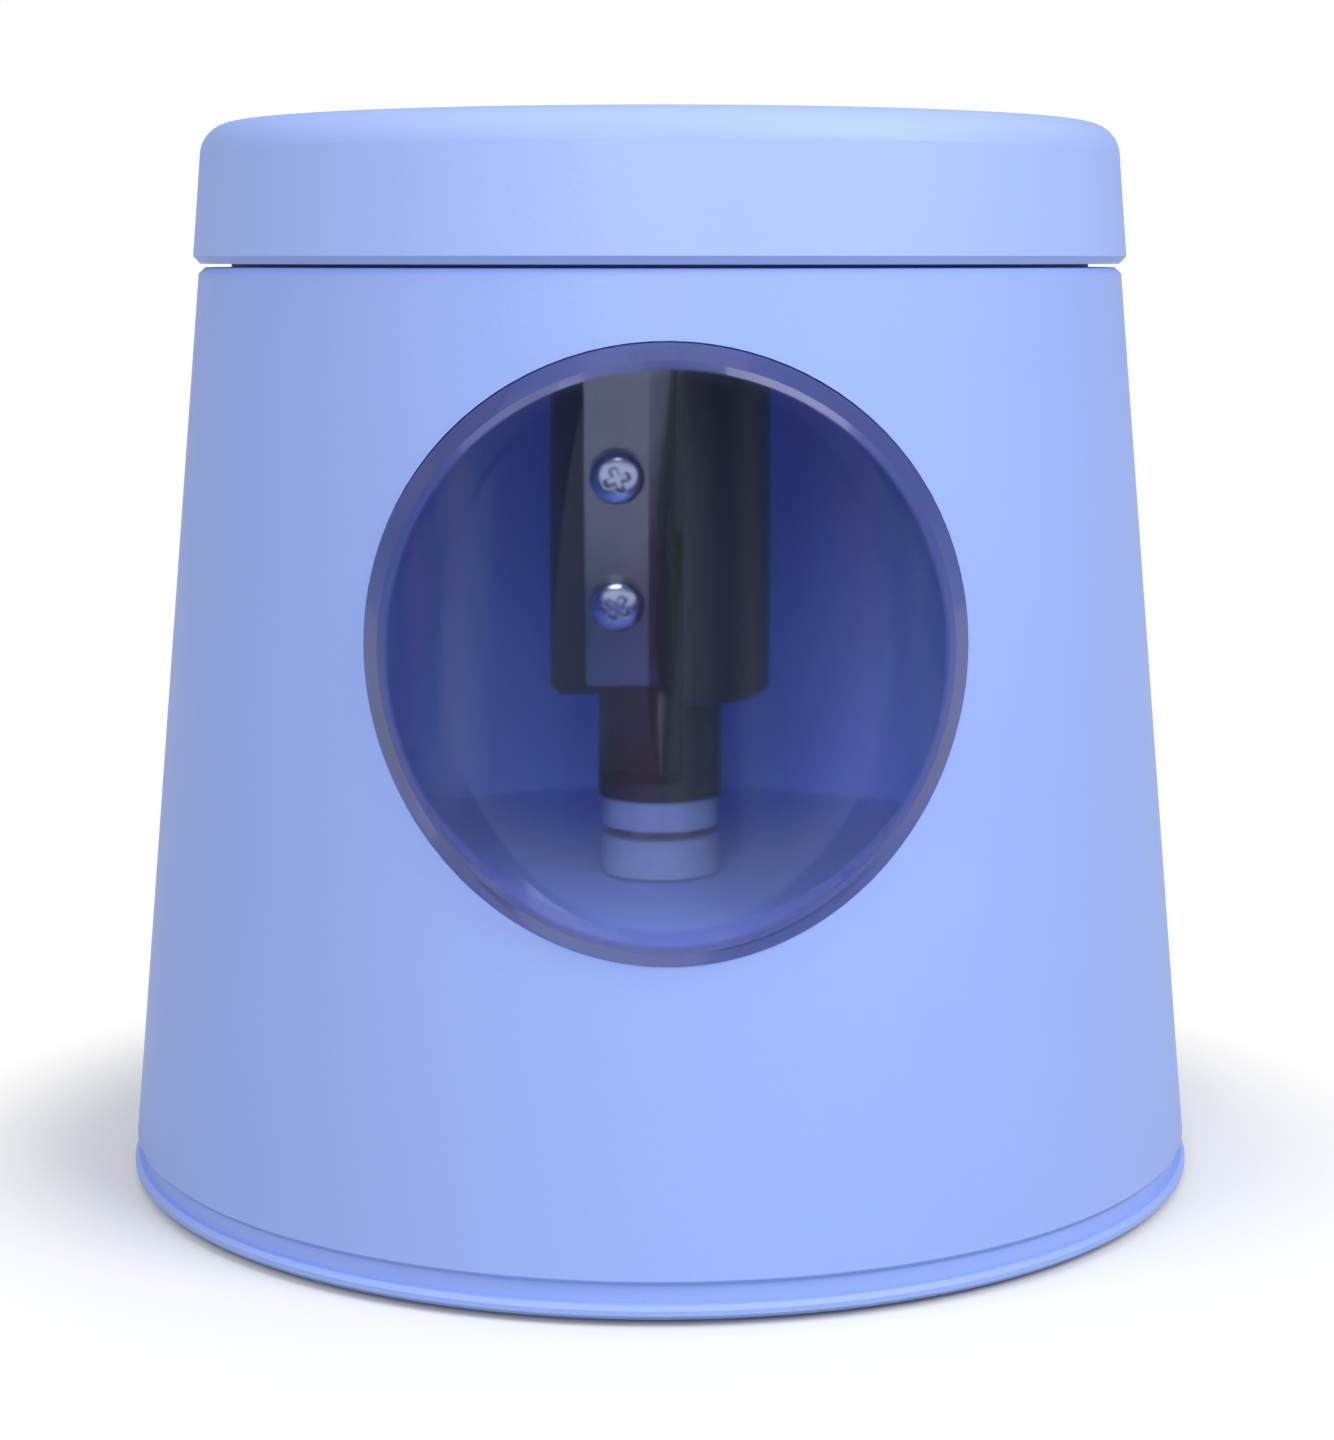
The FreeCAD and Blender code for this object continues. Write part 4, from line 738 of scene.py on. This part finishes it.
# %% World
WORLD_LEVEL = 0.36
ROOM_GAP = math.radians(18)
ROOM_PANEL = math.radians(50)
ROOM_TOP = math.sin(math.radians(11))
GAP_LEVEL = 0.55
PANEL_LEVEL = 1.15
TOP_LEVEL = 0.5
BAND_SCALE = 4.5
BAND_DETAIL = 1.5
ROOM_BANDS = (
    (0.34, (0.72, 0.50, 0.86)),
    (0.45, (0.40, 0.38, 0.54)),
    (0.56, (0.40, 0.62, 0.80)),
    (0.68, (1.00, 1.00, 1.00)),
)
WHITE = (1.0, 1.0, 1.0, 1.0)


def room_in_mirrors(tree):
    """Colour of the room by direction: noise bands round the upright axis times two brightness ramps."""
    split = add_node(tree, "ShaderNodeSeparateXYZ")
    tree.links.new(add_node(tree, "ShaderNodeTexCoord").outputs["Generated"], split.inputs["Vector"])
    forward = arithmetic(tree, "MULTIPLY", split.outputs["Y"], -1.0)
    around = arithmetic(tree, "ARCTAN2", split.outputs["X"], forward)
    aside = arithmetic(tree, "ABSOLUTE", around, 0.0)
    panel = smooth_range(tree, aside, ROOM_GAP, ROOM_PANEL, GAP_LEVEL, PANEL_LEVEL)
    height = smooth_range(tree, split.outputs["Z"], 0.0, ROOM_TOP, 1.0, TOP_LEVEL)
    level = arithmetic(tree, "MULTIPLY", panel, height)
    band = add_node(tree, "ShaderNodeTexNoise", noise_dimensions="1D")
    set_inputs(band, Scale=BAND_SCALE, Detail=BAND_DETAIL)
    tree.links.new(around, band.inputs["W"])
    ramp = add_node(tree, "ShaderNodeValToRGB")
    tree.links.new(band.outputs["Fac"], ramp.inputs["Fac"])
    marks = ramp.color_ramp.elements
    for index, (stop, colour) in enumerate(ROOM_BANDS):
        mark = marks[index] if index < 2 else marks.new(stop)
        mark.position = stop
        mark.color = (*colour, 1.0)
    return shade(tree, ramp.outputs["Color"], level)


def studio_world():
    """White to the camera, a banded room in mirrors and glass, and a plain level where it lights."""
    world = bpy.data.worlds.new("studio")
    bpy.context.scene.world = world
    world.use_nodes = True
    tree = world.node_tree
    lit = tree.nodes["Background"]
    set_inputs(lit, Color=WHITE, Strength=WORLD_LEVEL)
    white = add_node(tree, "ShaderNodeBackground")
    set_inputs(white, Color=WHITE, Strength=1.0)
    room = add_node(tree, "ShaderNodeBackground")
    tree.links.new(room_in_mirrors(tree), room.inputs["Color"])
    rays = add_node(tree, "ShaderNodeLightPath").outputs
    mirror = arithmetic(tree, "MAXIMUM", rays["Is Glossy Ray"], rays["Is Transmission Ray"])
    shown = mix_shaders(tree, mirror, lit.outputs["Background"], room.outputs["Background"])
    shown = mix_shaders(tree, rays["Is Camera Ray"], shown, white.outputs["Background"])
    tree.links.new(shown, tree.nodes["World Output"].inputs["Surface"])
    return world


print("world:", studio_world().name)

# %% [markdown]
# Four large soft boxes light the sharpener at a plain level. Two stand at the sides and one above.
# The front one is low, so that its light goes through the window and reaches the back wall and the
# deck, which one above would leave dark.

# %% Soft lamps
MIDDLE = (0.0, 0.0, 0.04)
LAMPS = {
    "key_box": {"place": (0.28, -0.24, 0.32), "width": 0.26, "height": 0.26, "power": 1.12},
    "top_box": {"place": (0.0, -0.1, 0.8), "width": 0.7, "height": 0.7, "power": 1.0},
    "front_box": {"place": (-0.05, -0.47, 0.225), "width": 0.2, "height": 0.14, "power": 0.69},
    "left_box": {"place": (-0.36, -0.24, 0.4), "width": 0.3, "height": 0.3, "power": 0.6},
}


def softbox(name, place, width, height, power):
    """A rectangular area lamp that faces the middle of the sharpener."""
    lamp = bpy.data.lights.new(name, "AREA")
    lamp.shape = "RECTANGLE"
    lamp.size = width
    lamp.size_y = height
    lamp.energy = power
    box = bpy.data.objects.new(name, lamp)
    box.location = place
    way = np.array(MIDDLE) - np.array(place)
    flat = math.hypot(way[0], way[1])
    box.rotation_euler = (math.atan2(flat, -way[2]), 0.0, math.atan2(-way[0], way[1]))
    bpy.context.scene.collection.objects.link(box)
    return box


print("lamps:", [softbox(name, **values).name for name, values in LAMPS.items()])

# %% [markdown]
# The camera was found from the outlines of lid, window and base: it stands about 22 cm in front and
# looks slightly down, with a short telephoto lens. The sharpener is turned by about a degree, which
# is done by moving the camera round it.

# %% Camera
LENS = 73.2
SENSOR = 36.0
NEAREST_SEEN = 10.0 * MM
CAMERA_REACH = 220.2 * MM
CAMERA_SIDE = 0.52 * MM
CAMERA_HEIGHT = 68.0 * MM
LOOK_DOWN = math.radians(8.95)
OBJECT_TURN = math.radians(-0.9)


def photo_camera():
    """The camera at the photograph's place, turned round the upright axis with its place."""
    lens = bpy.data.cameras.new("photo_camera")
    lens.sensor_fit = "VERTICAL"
    lens.sensor_height = SENSOR
    lens.lens = LENS
    lens.clip_start = NEAREST_SEEN
    camera = bpy.data.objects.new("photo_camera", lens)
    across = CAMERA_SIDE * math.cos(OBJECT_TURN) + CAMERA_REACH * math.sin(OBJECT_TURN)
    back = CAMERA_SIDE * math.sin(OBJECT_TURN) - CAMERA_REACH * math.cos(OBJECT_TURN)
    camera.location = (across, back, CAMERA_HEIGHT)
    camera.rotation_euler = (math.pi / 2 - LOOK_DOWN, 0.0, OBJECT_TURN)
    bpy.context.scene.collection.objects.link(camera)
    return camera


bpy.context.scene.camera = photo_camera()
bpy.context.scene.view_settings.view_transform = "Standard"
print("camera at", tuple(round(part, 4) for part in bpy.context.scene.camera.location))
